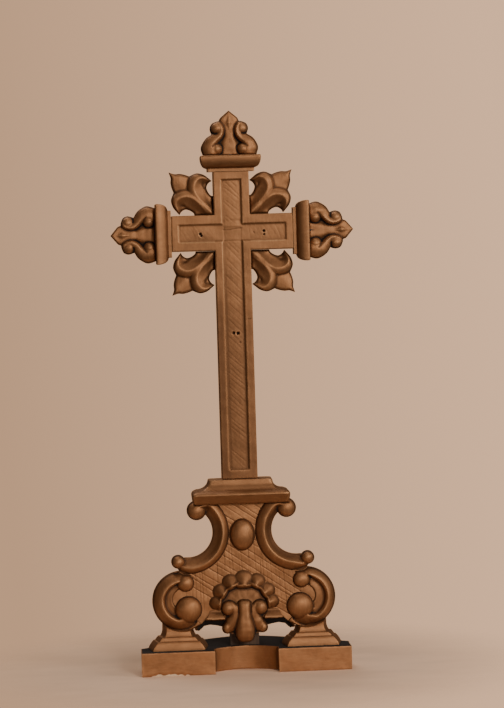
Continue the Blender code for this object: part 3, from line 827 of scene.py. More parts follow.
def c_scroll_area(x, z):
    """How far inside the right C-scroll's outline each point is."""
    band = arc(C_SCROLL, (C_INNER + C_OUTER) / 2, C_ENDS[0], C_ENDS[1], 30)
    half = (C_OUTER - C_INNER) / 2
    area = np.maximum(half - nearest(x, z, band)[0], disc(x, z, TOP_CURL, TOP_CURL_RADIUS))
    area = np.maximum(area, disc(x, z, LOW_CURL, LOW_CURL_RADIUS))
    under_cap = np.minimum(z - CAP_BASE + SEAM, CAP_NOSE_HALF + 0.8 - x)
    return np.minimum(area, -under_cap)


def volute_area(x, z):
    """How far inside the right volute's outline each point is."""
    band = np.vstack([arc(VOLUTE, VOLUTE_RADIUS, -128, 112, 40),
                      arc(VOLUTE_EYE, VOLUTE_EYE_RADIUS, 110, -110, 24)])
    area = np.maximum(within(x, z, band), disc(x, z, UPPER_BALL, UPPER_BALL_RADIUS))
    area = np.maximum(area, disc(x, z, LOWER_BALL, LOWER_BALL_RADIUS))
    return np.minimum(area, SEAM - c_scroll_area(x, z) - 2 * SEAM)


def carve_c_scroll(name, finish, flip, seed, rib_radius):
    relief = Relief((14, 120), (94, 212), SCROLL_BACK, GROUND + 1)
    relief.add_area(c_scroll_area(relief.x, relief.z))
    rib = [tuple(point) for point in arc(C_SCROLL, rib_radius, 264, 128, 9)]
    path = [(81, 130.0), (74.5, 129.0)] + rib + [(52.4, 203.6), (57.6, 204.2), (62.6, 201.6)]
    ends, roll_width = len(rib), C_OUTER - rib_radius + 0.8
    outer = [5, 7] + [roll_width] * ends + [8, 6.4, 5]
    inner = [4, 8] + [rib_radius - C_INNER + 0.5] * ends + [11, 6, 3]
    crest = [33, 36.4] + [38.2] * ends + [38.8, 39, 38]
    outer_edge = [29, 29.6] + [30.2] * ends + [29, 28.4, 29]
    inner_edge = [32, 30.6] + [29.6] * ends + [30.4, 32, 33]
    relief.stroke(path, outer, inner, crest, (outer_edge, inner_edge), (flank, scoop), over=True)
    relief.dome(LOW_CURL, LOW_CURL_RADIUS, 38.8, 29.5)
    relief.dome(TOP_CURL, TOP_CURL_RADIUS - 0.6, 39.8, 29.5)
    relief.finish((2.0, 1.6), (6.5, 0.55), seed, (0.2, 20), 0.6)
    carved(name, relief, finish, flip=flip)


def carve_volute(name, finish, flip, seed, rib_radius):
    """The band runs round from above the upper ball, and swells into the lower one."""
    relief = Relief((52, 46), (116, 126), SCROLL_BACK, GROUND + 0.6)
    relief.add_area(volute_area(relief.x, relief.z))
    rib = arc(VOLUTE, rib_radius, 78, -62, 9)
    spread = VOLUTE_RADIUS - rib_radius + 0.8
    path = [(66, 117), (75, 115)] + [tuple(point) for point in rib]
    path += [(83.5, 62.6), (79, 63.4), (75, 66)]
    ends = len(rib)
    hollow = rib_radius - VOLUTE_EYE_RADIUS + 0.6
    outer = [4, 8] + [spread] * ends + [14, 15, 16]
    inner = [3, 3.4, 5] + [hollow] * (ends - 1) + [7, 4, 2]
    crest = [31.5, 33.8] + [36.8] * ends + [36.8, 36.4, 36]
    outer_edge = [29, 27.5] + [26] * ends + [27, 27.5, 28]
    relief.stroke(path, outer, inner, crest, (outer_edge, 30.3), (flank, gutter), over=True)
    relief.dome(UPPER_BALL, UPPER_BALL_RADIUS, 38.8, 29.8)
    relief.dome(LOWER_BALL, LOWER_BALL_RADIUS, 40.6, 29.6)
    relief.finish((2.0, 1.6), (6.5, 0.55), seed, (0.2, 20), 0.6)
    carved(name, relief, finish, flip=flip)


def shell_outline():
    """The scalloped edge: the furthest point of any lobe in each direction."""
    outline = []
    for turn in np.radians(np.linspace(-6, 186, 110)):
        reach = 0.0
        for angle, radius in SHELL_LOBES:
            off, distance = turn - math.radians(angle), SHELL_RADIUS - radius
            room = radius**2 - (distance * math.sin(off)) ** 2
            if room >= 0 and math.cos(off) > 0:
                reach = max(reach, distance * math.cos(off) + math.sqrt(room))
        if reach > 0:
            outline.append((SHELL[0] + reach * math.cos(turn), SHELL[1] + reach * math.sin(turn)))
    return outline + [(-30, PANEL_FLOOR + 1.2), (30, PANEL_FLOOR + 1.2)]


def carve_shell(finish):
    """Seven lobes that lean outwards round a fluted dish."""
    relief = Relief((-45, 72), (45, 124), GROUND + SEAM, GROUND + 1, FINE_GRID)
    relief.outline(shell_outline())
    x, z = relief.x - SHELL[0], relief.z - SHELL[1]
    reach, turn = np.hypot(x, z), np.degrees(np.arctan2(z, x))
    off = np.min([np.abs(turn - angle) for angle, _ in SHELL_LOBES], axis=0)
    dish = 33.6 - 3.8 * np.clip(reach / 32, 0, 1) ** 2
    dish = dish - 0.22 * eased(off, 5, 14) * eased(reach, 6, 20)
    # painted shade: the sunk dish darkens towards the lobes, and the lobes' outer slopes are
    # painted dark
    relief.grime_and_shade = (0.16 + 0.16 * eased(reach, 16, 28)) * eased(34 - reach, 0, 4)
    relief.grime_and_shade = relief.grime_and_shade + 0.34 * eased(reach, 36, 42)
    relief.height = dish
    for angle, radius in SHELL_LOBES:
        toward = math.radians(angle)
        out = x * math.cos(toward) + z * math.sin(toward) - (SHELL_RADIUS - radius)
        aside = z * math.cos(toward) - x * math.sin(toward)
        crest = -0.42 * radius
        spread = np.where(out > crest, 1.5 * radius, 0.5 * radius)
        q = np.hypot((out - crest) / spread, aside / (1.2 * radius))
        foot = np.where(out > crest, 29.6, 30.6)
        power = np.where(out > crest, 1.15, 2.4)
        relief.raise_to(foot + (39.4 - foot) * np.clip(1 - q**power, 0, 1), q <= 1)
    relief.remove_area(pendant_area(relief) + SEAM)
    relief.worked(61, 0.2, 14)
    relief.soften(0.7)
    carved("shell", relief, finish)


def carve_boss(finish):
    centre = (0.0, 167.0)
    relief = Relief((-17, 146), (17, 188), GROUND + SEAM, GROUND + 0.6, FINE_GRID)
    dx, dz = relief.x - centre[0], relief.z - centre[1]
    relief.add_area((1 - np.hypot(dx / 16.2, dz / 20.4)) * 16.2)
    relief.raise_to(31.6)
    relief.dome(centre, (15.0, 19.4), 40.6, 31.0)
    relief.finish((1.0, 0.8), (6, 0.4), 63, (0.1, 16), 0.6)
    carved("oval_boss", relief, finish)


def pendant_outline():
    """A tongue between two scroll ends, which run down beside it and flare into petals."""
    half = [(0, 85.8), (5, 85.4), (8.6, 82.8), (9.8, 80.2), (12, 82.4), (15.4, 84.6), (19.8, 85.4)]
    half += [(24.4, 84), (27.9, 80.6), (29.4, 75.5), (28.4, 70), (25.6, 66), (24.2, 62)]
    half += [(25, 57.6), (28, 53.6), (29, 49.4), (27.4, 45.2), (23, 43), (17.5, 42.8)]
    half += [(13.4, 41.4), (11.6, 37), (8.2, 33.8), (4.2, 32.5), (0, 32.3)]
    return mirrored(half)


def pendant_area(relief):
    """How far inside the pendant's outline each of another relief's points is."""
    return within(relief.x, relief.z, np.array(pendant_outline()))


def carve_pendant(finish):
    relief = Relief((-30, 32), (30, 86.5), GROUND + SEAM, 31.5, FINE_GRID)
    relief.outline(spline(pendant_outline(), 3, (), True))
    for side in (1, -1):
        stem = [(16, 82), (12.6, 78), (11.8, 71), (12.6, 64), (15.4, 57.4), (19.6, 52), (23.2, 48)]
        wide = [3, 4.2, 5.4, 7.4, 8.6, 8.2, 6]
        crest = [38, 39.4, 39.8, 39.6, 39, 38, 36]
        relief.stroke(sided(side, stem), wide, wide, crest, (31.5, 31.5))
        relief.dome((side * 23.0, 50.4), (6.4, 8.2), 38.6, 31.6)
        relief.dome((side * 20.2, 75.4), 9.6, 42.0, 31.8)
        fillet = sided(side, [(9.4, 82), (9.2, 75), (9.6, 67), (12.4, 58)])
        relief.stroke(fillet, 1.7, 1.7, [38.5, 41.0, 41.4, 40], (34, 34), (bell, bell))
    tongue = [(0, 87), (0, 80), (0, 70), (0, 58), (0, 48), (0, 40), (0, 33)]
    wide = [8.8, 8, 7.8, 10.4, 12.2, 12, 9.4]
    relief.stroke(tongue, wide, wide, [39, 43, 44, 45.4, 45.8, 44.6, 41], (35.5, 35.5),
                  (loaf, loaf), over=True)
    relief.finish((2.4, 2.6), (5, 0.4), 65, (0.2, 14), 0.8)
    # the lowest part is painted darker towards the bottom
    relief.grime_and_shade = relief.grime_and_shade + 0.3 * eased(-relief.z, -47, -35)
    carved("pendant", relief, finish)


def carve_apron(finish):
    half = [(0, PANEL_FLOOR - SEAM), (51.5, PANEL_FLOOR - SEAM), (62, 56), (63.2, 49.5), (58, 46)]
    half += [(54.3, 49), (51, 52.2), (43, 53.8), (35, 52.4), (27.6, 50.6), (0, 50)]
    relief = Relief((-64, 45), (64, 72.5), PANEL_BACK, 31)
    relief.outline(mirrored(half))
    x = np.abs(relief.x)
    lip = np.interp(x, [0, 25, 40, 50, 56, 60, 64], [62, 61.6, 61.2, 62.2, 60, 54, 47.5])
    up = relief.z - lip
    over = 37.4 - 6.6 * eased(up, 0.4, 10.6)
    under = 37.4 - 15.0 * np.clip(-up / 8.5, 0, 1) ** 0.7
    relief.height = np.where(up > 0, over, under)
    # painted shade: below the lip the underside is painted near black
    relief.grime_and_shade = 1.5 * eased(-up, 0.5, 1.8)
    for side in (1, -1):
        ear = sided(side, [(54.5, 66), (57.5, 60), (61, 53), (62, 49)])
        relief.stroke(ear, 2.4, 2.4, [33.5, 35.6, 35.6, 33], (30, 30), (bell, bell))
    board = disc(x, relief.z, VOLUTE, VOLUTE_RADIUS - 0.5)
    relief.remove_area(np.maximum(board, volute_area(x, relief.z) + SEAM))
    relief.worked(67, 0.14, 20)
    relief.soften(0.45)
    # a shallow seat lets the pendant lie over the strip
    relief.lower_to(GROUND - SEAM, pendant_area(relief) > -SEAM)
    carved("apron_rail", relief, finish)


def carve_panel(finish):
    """The board behind the scrolls, grooved like basketwork where it shows."""
    half = [(0, CAP_BASE - SEAM), (60, CAP_BASE - SEAM), (60, PANEL_FLOOR), (0, PANEL_FLOOR)]
    relief = Relief((-114, 50), (114, 207), PANEL_BACK, GROUND, 0.55)
    x = np.abs(relief.x)
    scrolls = np.maximum(c_scroll_area(x, relief.z), volute_area(x, relief.z))
    relief.outline(mirrored(half))
    opening = disc(x, relief.z, C_SCROLL, C_INNER + 0.6)
    relief.remove_area(opening)
    relief.add_area(scrolls - 0.6)
    rim = disc(x, relief.z, VOLUTE, VOLUTE_RADIUS - 0.6)
    relief.add_area(np.minimum(rim, -opening))
    relief.remove_area(np.minimum(PANEL_FLOOR - relief.z, -rim))
    relief.worked(71, 0.22, 24)
    draw = np.random.default_rng(73)
    for line in range(21):
        level = 62 + 9.0 * line + draw.uniform(-1.6, 1.6)
        fall = -0.66 * draw.uniform(0.93, 1.07)
        points = [(at, level + fall * at + draw.uniform(-0.4, 0.4)) for at in (-75, -30, 12, 75)]
        relief.groove(points, 0.85, 0.36 * draw.uniform(0.6, 1.2))
    for line in range(30):
        at = -76 + 5.2 * line + draw.uniform(-1.1, 1.1)
        tilt = draw.uniform(-0.10, 0.03)
        points = [(at, 72), (at + 45 * tilt, 117), (at + 90 * tilt, 162)]
        relief.groove(points, 0.75, 0.22 * draw.uniform(0.3, 1.3))
    relief.soften(0.3)
    relief.lower_to(SCROLL_BACK - SEAM, scrolls > 0.5)
    carved("base_panel", relief, finish)


# ---------------------------------------------------------------- the foot's mouldings


def cap_profile():
    """The cap moulding's (z, half width, front): a nose, a cove and a flat top."""
    base = CAP_LOW[2]
    profile = [(base, 59.4, 38.4), (base + 1.4, 60.2, 39.8), (base + 5, 60.8, 41.8)]
    profile += [(base + 9, 61.4, 43.6), (base + 11.4, 61.4, 44.8), (base + 13.4, 60.6, 44.2)]
    profile += [(base + 14.8, 58.6, 41.8), (base + 15.4, 57.0, 40.2)]
    for turn in np.radians(np.linspace(0, 88, 9)):
        half = 55.4 - 15.2 * math.sin(turn)
        profile.append((base + 16.0 + 12.2 * (1 - math.cos(turn)), half, overhang(half)))
    profile.append((CAP_HIGH[2], 39.6, overhang(39.6)))
    return profile


def foot_profile():
    """A foot's (z, half width, front), from the plinth up under the volute."""
    base = PLINTH_HIGH[2] + SEAM
    profile = [(base, 32.4, 50.0), (base + 1.2, 32.4, 50.0), (base + 3.2, 31.6, 49.8)]
    profile += [(base + 6, 29.9, 49.3), (base + 8.8, 27.6, 48.5), (base + 10.6, 26.0, 47.6)]
    profile += [(base + 10.9, 24.0, 44.6), (base + 11.6, 23.8, 44.4), (base + 14.0, 21.8, 44.0)]
    profile += [(base + 15.6, 20.4, 43.4), (base + 15.9, 17.6, 40.8), (base + 16.6, 17.0, 40.4)]
    for rise in np.linspace(0.15, 1, 5):
        flare = 2.2 * (1 - rise) ** 2
        profile.append((base + 16.6 + 8 * rise, 14.8 + flare, 38.6 + 0.8 * flare))
    return profile


def seated_foot(name, side, finish, seed):
    """A foot whose top follows the volute that stands on it."""
    middle = (FOOT_LOW[0] + FOOT_HIGH[0]) / 2
    top, lowest_seat, splay, corner = 62.0 + DATUM, 46.0 + DATUM, 5.0, 0.6

    def ring_at(half, front):
        return block_ring(middle - half, middle + half, -front, FOOT_HIGH[1], splay, corner)

    points, faces = lofted(softened(foot_profile() + [(top, 14.6, 38.5)], 0.4, 0.4), ring_at)
    hollow, normals = dished(points, faces, 14)
    points = points + normals * wander(points[:, 0], points[:, 2] * 0.4, seed, 26, 0.12)[:, None]
    under = DATUM + VOLUTE[1] - np.sqrt(
        np.clip((VOLUTE_RADIUS + SEAM) ** 2 - (points[:, 0] - VOLUTE[0]) ** 2, 0, None)
    )
    points[:, 2] = np.minimum(points[:, 2], np.maximum(under, lowest_seat))
    points[:, 0] *= side
    if side < 0:
        faces = [face[::-1] for face in faces]
    piece(name, points, faces, hollow, finish, "stand", (name,))


def plinth_outline():
    """The plinth from above, as (x, y): two blocks, a curved recess and a bowed back."""
    front, half = PLINTH_LOW[1], PLINTH_HIGH[0]
    recess_half, end_depth, middle_depth, spacing = 39.7, 18.0, 36.0, 2.2
    points = []
    for share in np.linspace(0, 1, 15):
        depth = middle_depth + (end_depth - middle_depth) * share**2
        points.append((recess_half * share, front + depth))
    points += straight((recess_half, front + end_depth), (recess_half, front), spacing)[1:]
    points += straight((recess_half, front), (half, front), spacing)[1:]
    depth, bow, soft, power = 41.0, PLINTH_HIGH[1] - PLINTH_LOW[1] - 41.0, 0.04, 1.35
    full = (1 + soft**2) ** (power / 2) - soft**power
    points += straight((half, front), (half, front + depth), spacing)[1:]
    for share in np.linspace(1, 0, 40)[1:]:
        rounded = (share**2 + soft**2) ** (power / 2) - soft**power
        points.append((half * share, front + depth + bow * (1 - rounded / full)))
    return np.array(mirrored(points))


def straight(start, end, spacing):
    """Points along a straight edge."""
    count = max(2, round(math.dist(start, end) / spacing))
    return [
        (start[0] + (end[0] - start[0]) * i / count, start[1] + (end[1] - start[1]) * i / count)
        for i in range(count + 1)
    ]


def make_plinth(finish):
    outline = plinth_outline()
    before, after = np.roll(outline, 1, axis=0), np.roll(outline, -1, axis=0)
    along = after - before
    outward = np.column_stack([along[:, 1], -along[:, 0]])
    outward /= np.linalg.norm(outward, axis=1)[:, None]
    top = PLINTH_HIGH[2]
    levels = [(0.0, 0.4), (0.3, 0.1), (0.8, 0.0)]
    levels += [(z, 0.0) for z in np.linspace(2.3, top - 2, 17)]
    levels += [(top - 0.7, 0.0), (top - 0.2, 0.15), (top, 0.4), (top, 1.3)]
    points, faces = lofted(levels, lambda inset: outline - outward * inset)
    hollow, normals = dished(points, faces, 8)
    swing = wander(points[:, 0] + points[:, 1], points[:, 2], 81, 30, 0.22)
    level = (points[:, 2] > 0.2) & (points[:, 2] < top - 0.1)
    hollow[-len(outline):] = BARE_AND_SHADE  # its top is painted near black: painted shade, on a top also taken as never gilded
    # knocks along the lower front edge of the left block, down to pale gesso
    draw = np.random.default_rng(83)
    chip = np.zeros(len(points))
    for _ in range(15):
        at = PLINTH_LOW[0] + draw.uniform(12, 62)
        size = draw.uniform(1.2, 3.4)
        gap = np.hypot((points[:, 0] - at) / 1.9, (points[:, 2] - draw.uniform(-0.5, 1.2)) * 1.1)
        front = points[:, 1] < PLINTH_LOW[1] + 3
        chip = np.maximum(chip, np.where(front, np.clip(1.4 * (1 - gap / size), 0, 1), 0))
    points = points + normals * np.where(level, swing, 0)[:, None]
    points[:, 1] += 0.9 * chip
    piece("plinth", points, faces, hollow, finish, "stand", ("plinth",),
          chip=chip)


def make_foot(finishes):
    make_plinth(finishes["plinth"])
    # Known fault: the CAD's socket is not cut here, so at rest the tenon passes through this piece
    moulding("cap_moulding", cap_profile(), -CAP_HIGH[1], finishes["cushion"], "stand", 91,
             worn=0.14, corner=4.5)
    carving = finishes["carving"]
    for i, (word, side) in enumerate((("right", 1), ("left", -1))):
        flip = side < 0
        carve_c_scroll(f"c_scroll_{word}", carving, flip, 100 + i, C_RIBS[i])
        carve_volute(f"volute_{word}", carving, flip, 110 + i, VOLUTE_RIBS[i])
        seated_foot(f"foot_{word}", side, finishes["foot"], 120 + i)
    carve_panel(finishes["panel"])
    carve_shell(finishes["shaded"])
    carve_boss(finishes["carving"])
    carve_pendant(finishes["shaded"])
    carve_apron(finishes["shaded"])
    for name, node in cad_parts.items():
        if "dowel" in name or name == "back_post":
            node.data.materials.clear()
            node.data.materials.append(finishes["wood"])
    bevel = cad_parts["back_post"].modifiers.new("bevel", "BEVEL")
    bevel.width, bevel.segments, bevel.angle_limit = 0.0008, 2, math.radians(40)


# ---------------------------------------------------------------- finishes


class Finish:
    """Builds one node material. A value handed to an input is a number or another output."""

    def __init__(self, name):
        self.material = bpy.data.materials.new(name)
        self.material.use_nodes = True
        self.tree = self.material.node_tree
        self.shader = self.tree.nodes["Principled BSDF"]
        self.where = self.add("TexCoord").outputs["Object"]

    def add(self, kind, settings=None, **inputs):
        node = self.tree.nodes.new("ShaderNode" + kind)
        for key, value in (settings or {}).items():
            setattr(node, key, value)
        for key, value in inputs.items():
            self.feed(node.inputs[key], value)
        return node

    def feed(self, socket, value):
        if isinstance(value, bpy.types.NodeSocket):
            self.tree.links.new(value, socket)
        else:
            socket.default_value = value

    def noise(self, size, detail, stretch=(1, 1, 1)):
        """Noise whose features are about this many millimetres across."""
        mapped = self.add("Mapping", Vector=self.where, Scale=stretch).outputs[0]
        scale = 1 / (size * MM)
        node = self.add("TexNoise", Vector=mapped, Scale=scale, Detail=detail, Roughness=0.55)
        return node.outputs["Fac"]

    def attribute(self, name):
        return self.add("Attribute", {"attribute_name": name}).outputs["Fac"]

    def math(self, operation, a, b, c=0.0):
        node = self.add("Math", {"operation": operation})
        for socket, value in zip(node.inputs, (a, b, c)):
            self.feed(socket, value)
        return node.outputs[0]

    def range(self, value, low, high, to_low=0.0, to_high=1.0):
        """A value's smooth passage from low to high, as a number between two others."""
        node = self.add("MapRange", {"interpolation_type": "SMOOTHSTEP"})
        for key, number in zip(
            ("Value", "From Min", "From Max", "To Min", "To Max"),
            (value, low, high, to_low, to_high),
        ):
            self.feed(node.inputs[key], number)
        return node.outputs[0]

    def mix(self, share, a, b):
        node = self.add("Mix", {"data_type": "RGBA"})
        for socket, value in zip((node.inputs[0], node.inputs[6], node.inputs[7]), (share, a, b)):
            if isinstance(value, tuple):
                value = (*value, 1)
            self.feed(socket, value)
        return node.outputs[2]

    def bump(self, height, distance, strength, below=None):
        node = self.add("Bump", Height=height, Distance=distance * MM, Strength=strength)
        if below is not None:
            self.feed(node.inputs["Normal"], below)
        return node.outputs[0]


DARK_GILT, GILT, LIGHT_GILT = (0.135, 0.052, 0.021), (0.40, 0.185, 0.080), (0.56, 0.29, 0.135)
# the dark colour on this line is patina in the hollows and also painted shade; the light one is
# rubbed gilt and also a painted highlight
PATINA_AND_SHADE, RUBBED_AND_LIT = (0.052, 0.020, 0.009), (0.74, 0.42, 0.21)
# the near-black colour on this line is painted shade
GESSO, SHADE_BLACK = (0.70, 0.56, 0.40), (0.012, 0.006, 0.004)
METAL = 0.82  # how metallic the paint is where it is whole
ALONG = (0.25, 1, 1)  # brush strokes that run along a moulding


def scaled(colour, by):
    return tuple(by * part for part in colour)


def gilt(name, bright, grain=(1, 1, 0.3), mottle=0.6, rough=0.50, rubbed=0.3, dirt_and_shade_amount=0.62,
         chips=False):
    """Old bronze-gold paint over gesso: dark in the hollows, rubbed bright on the crests. The dark
    of the hollows also paints shade, the rubbed bright also paints a highlight on walls that face
    the light, and high hollow values paint near-black shade.
    """
    made = Finish(name)
    hollow = made.attribute("hollow")
    clouds = made.noise(38, 4)
    blotch = made.noise(9, 4)
    brush = made.noise(2.6, 4, grain)
    fine = made.noise(0.55, 2)
    uneven = made.math("MULTIPLY_ADD", blotch, 0.5, made.math("MULTIPLY", clouds, 0.5))
    tone = made.range(uneven, 0.5 - 0.24, 0.5 + 0.24)
    tone = made.math("MULTIPLY_ADD", tone, mottle, 0.5 - 0.5 * mottle)
    low, high = 0.66 * bright, 1.2 * bright
    colour = made.mix(tone, scaled(GILT, low), scaled(GILT, high))
    streak = made.range(brush, 0.42, 0.72)
    colour = made.mix(made.math("MULTIPLY", streak, 0.22), colour, scaled(LIGHT_GILT, bright))
    # dirt and painted shade: the patina colour darkens the hollows and the places painted as shade
    worn = made.math("MULTIPLY_ADD", made.math("SUBTRACT", blotch, 0.5), 0.35, hollow)
    dirt = made.range(worn, 0.0, 0.55)
    colour = made.mix(made.math("MULTIPLY", dirt, dirt_and_shade_amount), colour, PATINA_AND_SHADE)
    # rubbed wear on the crests, and a painted highlight on walls that face the light
    proud_and_lit = made.math("MULTIPLY_ADD", made.math("SUBTRACT", brush, 0.5), -0.3, hollow)
    crest = made.range(proud_and_lit, -0.10, -0.55)
    colour = made.mix(made.math("MULTIPLY", crest, rubbed), colour, RUBBED_AND_LIT)
    speck = made.range(made.noise(1.7, 2), 0.70, 0.78)
    colour = made.mix(made.math("MULTIPLY", speck, 0.35), colour, DARK_GILT)
    # near-black painted shade where the hollow value is high, with the metal taken away
    ungilt_and_shade = made.range(hollow, 0.8, 1.3)
    colour = made.mix(ungilt_and_shade, colour, SHADE_BLACK)
    roughness = made.math("MULTIPLY_ADD", dirt, 0.10, rough - 0.03)
    roughness = made.math("MULTIPLY_ADD", blotch, 0.10, roughness)
    roughness = made.math("MULTIPLY_ADD", ungilt_and_shade, 0.40, roughness)
    metallic = made.math("MULTIPLY_ADD", ungilt_and_shade, -METAL, METAL)
    if chips:
        chip = made.attribute("chip")
        edge = made.math("MULTIPLY_ADD", made.math("SUBTRACT", fine, 0.5), 0.5, chip)
        gone = made.range(edge, 0.42, 0.56)
        colour = made.mix(gone, colour, GESSO)
        metallic = made.math("MULTIPLY", metallic, made.math("SUBTRACT", 1.0, gone))
        roughness = made.math("MULTIPLY_ADD", gone, 0.3, roughness)
    made.feed(made.shader.inputs["Base Color"], colour)
    made.feed(made.shader.inputs["Metallic"], metallic)
    made.feed(made.shader.inputs["Roughness"], roughness)
    lumps = made.bump(blotch, 0.5, 0.5)
    strokes = made.bump(brush, 0.16, 0.6, lumps)
    made.feed(made.shader.inputs["Normal"], made.bump(fine, 0.05, 0.5, strokes))
    return made.material


def bare_wood():
    """Plain wood for what is never gilded, stained very dark so that it also paints the shade
    behind the pendant, with its grain upright.
    """
    made = Finish("bare_wood")
    fibre = made.noise(1.6, 4, (1, 1, 0.05))
    rings = made.noise(9, 3, (1, 1, 0.08))
    colour = made.mix(made.range(rings, 0.35, 0.65), (0.040, 0.019, 0.009), (0.085, 0.044, 0.021))
    dark = made.math("MULTIPLY", made.range(fibre, 0.5, 0.75), 0.55)
    colour = made.mix(dark, colour, (0.022, 0.010, 0.005))
    made.feed(made.shader.inputs["Base Color"], colour)
    made.feed(made.shader.inputs["Roughness"], made.range(fibre, 0.3, 0.7, 0.55, 0.8))
    made.feed(made.shader.inputs["Normal"], made.bump(fibre, 0.25, 0.6))
    return made.material


# ---------------------------------------------------------------- floor, light and camera


FLOOR_COLOUR = (0.95, 0.67, 0.48)
BACKDROP, SHADED_BACKDROP = (0.77, 0.47, 0.285), (0.48, 0.284, 0.166)
ROOM_COLOUR, LAMP_COLOUR = (0.40, 0.27, 0.19), (1, 0.93, 0.85)
BACKDROP_STRENGTH, ROOM_STRENGTH = 1.3, 0.24
CAMERA_AT = (-0.1607, -3.1418, 0.5092)
CAMERA_TURN = (3.309, 2.076, -1.727)  # to the right, down and round its own axis, in degrees
CAMERA_LENS = 126.65


def make_floor():
    """A pale floor that fades into the backdrop behind the object."""
    mesh = bpy.data.meshes.new("floor")
    corners = [(-3, -3, 0), (3, -3, 0), (3, 3, 0), (-3, 3, 0)]
    mesh.from_pydata(corners, [], [(0, 1, 2, 3)])
    made = bpy.data.objects.new("floor", mesh)
    bpy.context.scene.collection.objects.link(made)
    cloth = Finish("floor_cloth")
    weave = cloth.noise(0.9, 2)
    # soft patches of painted shade, as folds in the cloth would cast
    fold_shade = cloth.noise(140, 2, (1, 2.5, 1))
    tint = cloth.mix(cloth.range(fold_shade, 0.3, 0.7), scaled(FLOOR_COLOUR, 0.94),
                     scaled(FLOOR_COLOUR, 1.05))
    cloth.feed(cloth.shader.inputs["Base Color"], tint)
    cloth.shader.inputs["Roughness"].default_value = 0.95
    cloth.feed(cloth.shader.inputs["Normal"], cloth.bump(weave, 0.2, 0.4))
    away = cloth.add("VectorMath", {"operation": "LENGTH"})
    cloth.feed(away.inputs[0], cloth.where)
    gone = cloth.range(away.outputs["Value"], 0.16, 0.42)
    clear = cloth.add("BsdfTransparent")
    mixed = cloth.add("MixShader", Fac=gone)
    cloth.tree.links.new(cloth.shader.outputs[0], mixed.inputs[1])
    cloth.tree.links.new(clear.outputs[0], mixed.inputs[2])
    cloth.tree.links.new(mixed.outputs[0], cloth.tree.nodes["Material Output"].inputs["Surface"])
    mesh.materials.append(cloth.material)


def make_world():
    """The camera sees a warm pale backdrop, and the object a dimmer brown room."""
    world = bpy.data.worlds.new("studio")
    bpy.context.scene.world = world
    world.use_nodes = True
    nodes, links = world.node_tree.nodes, world.node_tree.links
    seen, room = nodes["Background"], nodes.new("ShaderNodeBackground")
    toward, share = nodes.new("ShaderNodeTexCoord"), nodes.new("ShaderNodeVectorMath")
    share.operation, share.inputs[1].default_value = "DOT_PRODUCT", (1.0, 0.0, 0.1)
    spread, tint = nodes.new("ShaderNodeMapRange"), nodes.new("ShaderNodeMix")
    spread.inputs["From Min"].default_value, spread.inputs["From Max"].default_value = -0.05, 0.16
    tint.data_type = "RGBA"
    tint.inputs[6].default_value = (*SHADED_BACKDROP, 1)
    tint.inputs[7].default_value = (*BACKDROP, 1)
    links.new(toward.outputs["Generated"], share.inputs[0])
    links.new(share.outputs["Value"], spread.inputs["Value"])
    links.new(spread.outputs[0], tint.inputs[0])
    links.new(tint.outputs[2], seen.inputs["Color"])
    seen.inputs["Strength"].default_value = BACKDROP_STRENGTH
    room.inputs["Color"].default_value = (*ROOM_COLOUR, 1)
    room.inputs["Strength"].default_value = ROOM_STRENGTH
    path, mixed = nodes.new("ShaderNodeLightPath"), nodes.new("ShaderNodeMixShader")
    links.new(path.outputs["Is Camera Ray"], mixed.inputs["Fac"])
    links.new(room.outputs[0], mixed.inputs[1])
    links.new(seen.outputs[0], mixed.inputs[2])
    links.new(mixed.outputs[0], nodes["World Output"].inputs["Surface"])


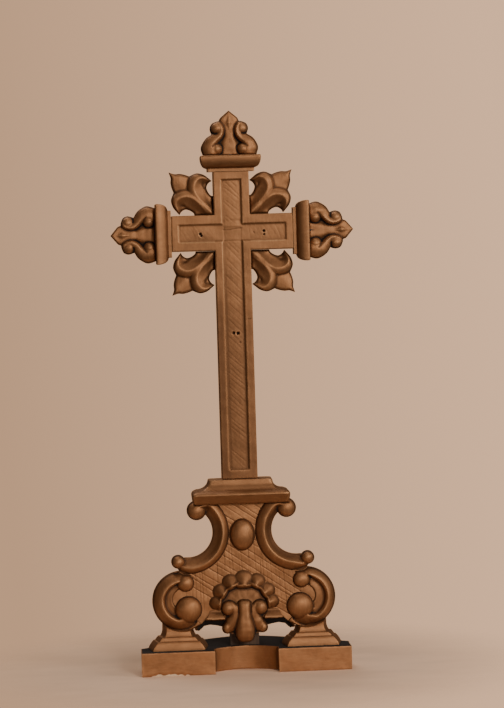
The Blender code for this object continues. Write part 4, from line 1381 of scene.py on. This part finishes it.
def softbox(name, azimuth, elevation, distance, size, power):
    """A square area light that faces the middle of the cross from azimuth round -Y."""
    turn, rise = math.radians(azimuth), math.radians(elevation)
    level = math.cos(rise)
    away = Vector((math.sin(turn) * level, -math.cos(turn) * level, math.sin(rise)))
    light = bpy.data.lights.new(name, "AREA")
    light.size, light.energy, light.color = size, power, LAMP_COLOUR
    holder = bpy.data.objects.new(name, light)
    bpy.context.scene.collection.objects.link(holder)
    holder.location = Vector((0, 0, 0.35)) + away * distance
    holder.rotation_euler = (-away).to_track_quat("-Z", "Y").to_euler()


def make_lights():
    softbox("key", 19, 13, 3.6, 0.8, 54)
    softbox("side", 56, 18, 3.2, 0.9, 25)
    softbox("fill", -14, 2, 3.4, 1.0, 9)
    softbox("behind", 208, 55, 2.6, 1.4, 17)
    softbox("above", 10, 78, 2.2, 1.2, 9)


def make_camera():
    turn, dip, tilt = (math.radians(angle) for angle in CAMERA_TURN)
    ahead = Vector((math.sin(turn) * math.cos(dip), math.cos(turn) * math.cos(dip), -math.sin(dip)))
    across = Vector((math.cos(turn), -math.sin(turn), 0))
    up = across.cross(ahead)
    right = across * math.cos(tilt) + up * math.sin(tilt)
    up = up * math.cos(tilt) - across * math.sin(tilt)
    lens = bpy.data.cameras.new("camera")
    lens.lens, lens.sensor_width = CAMERA_LENS, 36
    holder = bpy.data.objects.new("camera", lens)
    bpy.context.scene.collection.objects.link(holder)
    turned_to = Matrix((right, up, -ahead)).transposed().to_4x4()
    holder.matrix_world = Matrix.Translation(CAMERA_AT) @ turned_to
    bpy.context.scene.camera = holder


def main():
    finishes = {
        "board": gilt("gilt_board", 0.74, (1, 1, 0.25), 0.75, dirt_and_shade_amount=0.45),
        "panel": gilt("gilt_panel", 0.94, (0.6, 1, 0.5), 0.7),
        "carving": gilt("gilt_carving", 0.88, rough=0.52, rubbed=0.2),
        "shaded": gilt("gilt_shaded", 0.74, rough=0.52, rubbed=0.15),
        "cushion": gilt("gilt_cushion", 0.74, ALONG, rough=0.48),
        "foot": gilt("gilt_foot", 0.86, ALONG),
        "plinth": gilt("gilt_plinth", 0.92, ALONG, 0.8, rubbed=0.1, chips=True),
        "wood": bare_wood(),
    }
    make_cross(finishes)
    make_foot(finishes)
    make_floor()
    make_world()
    make_lights()
    make_camera()


main()
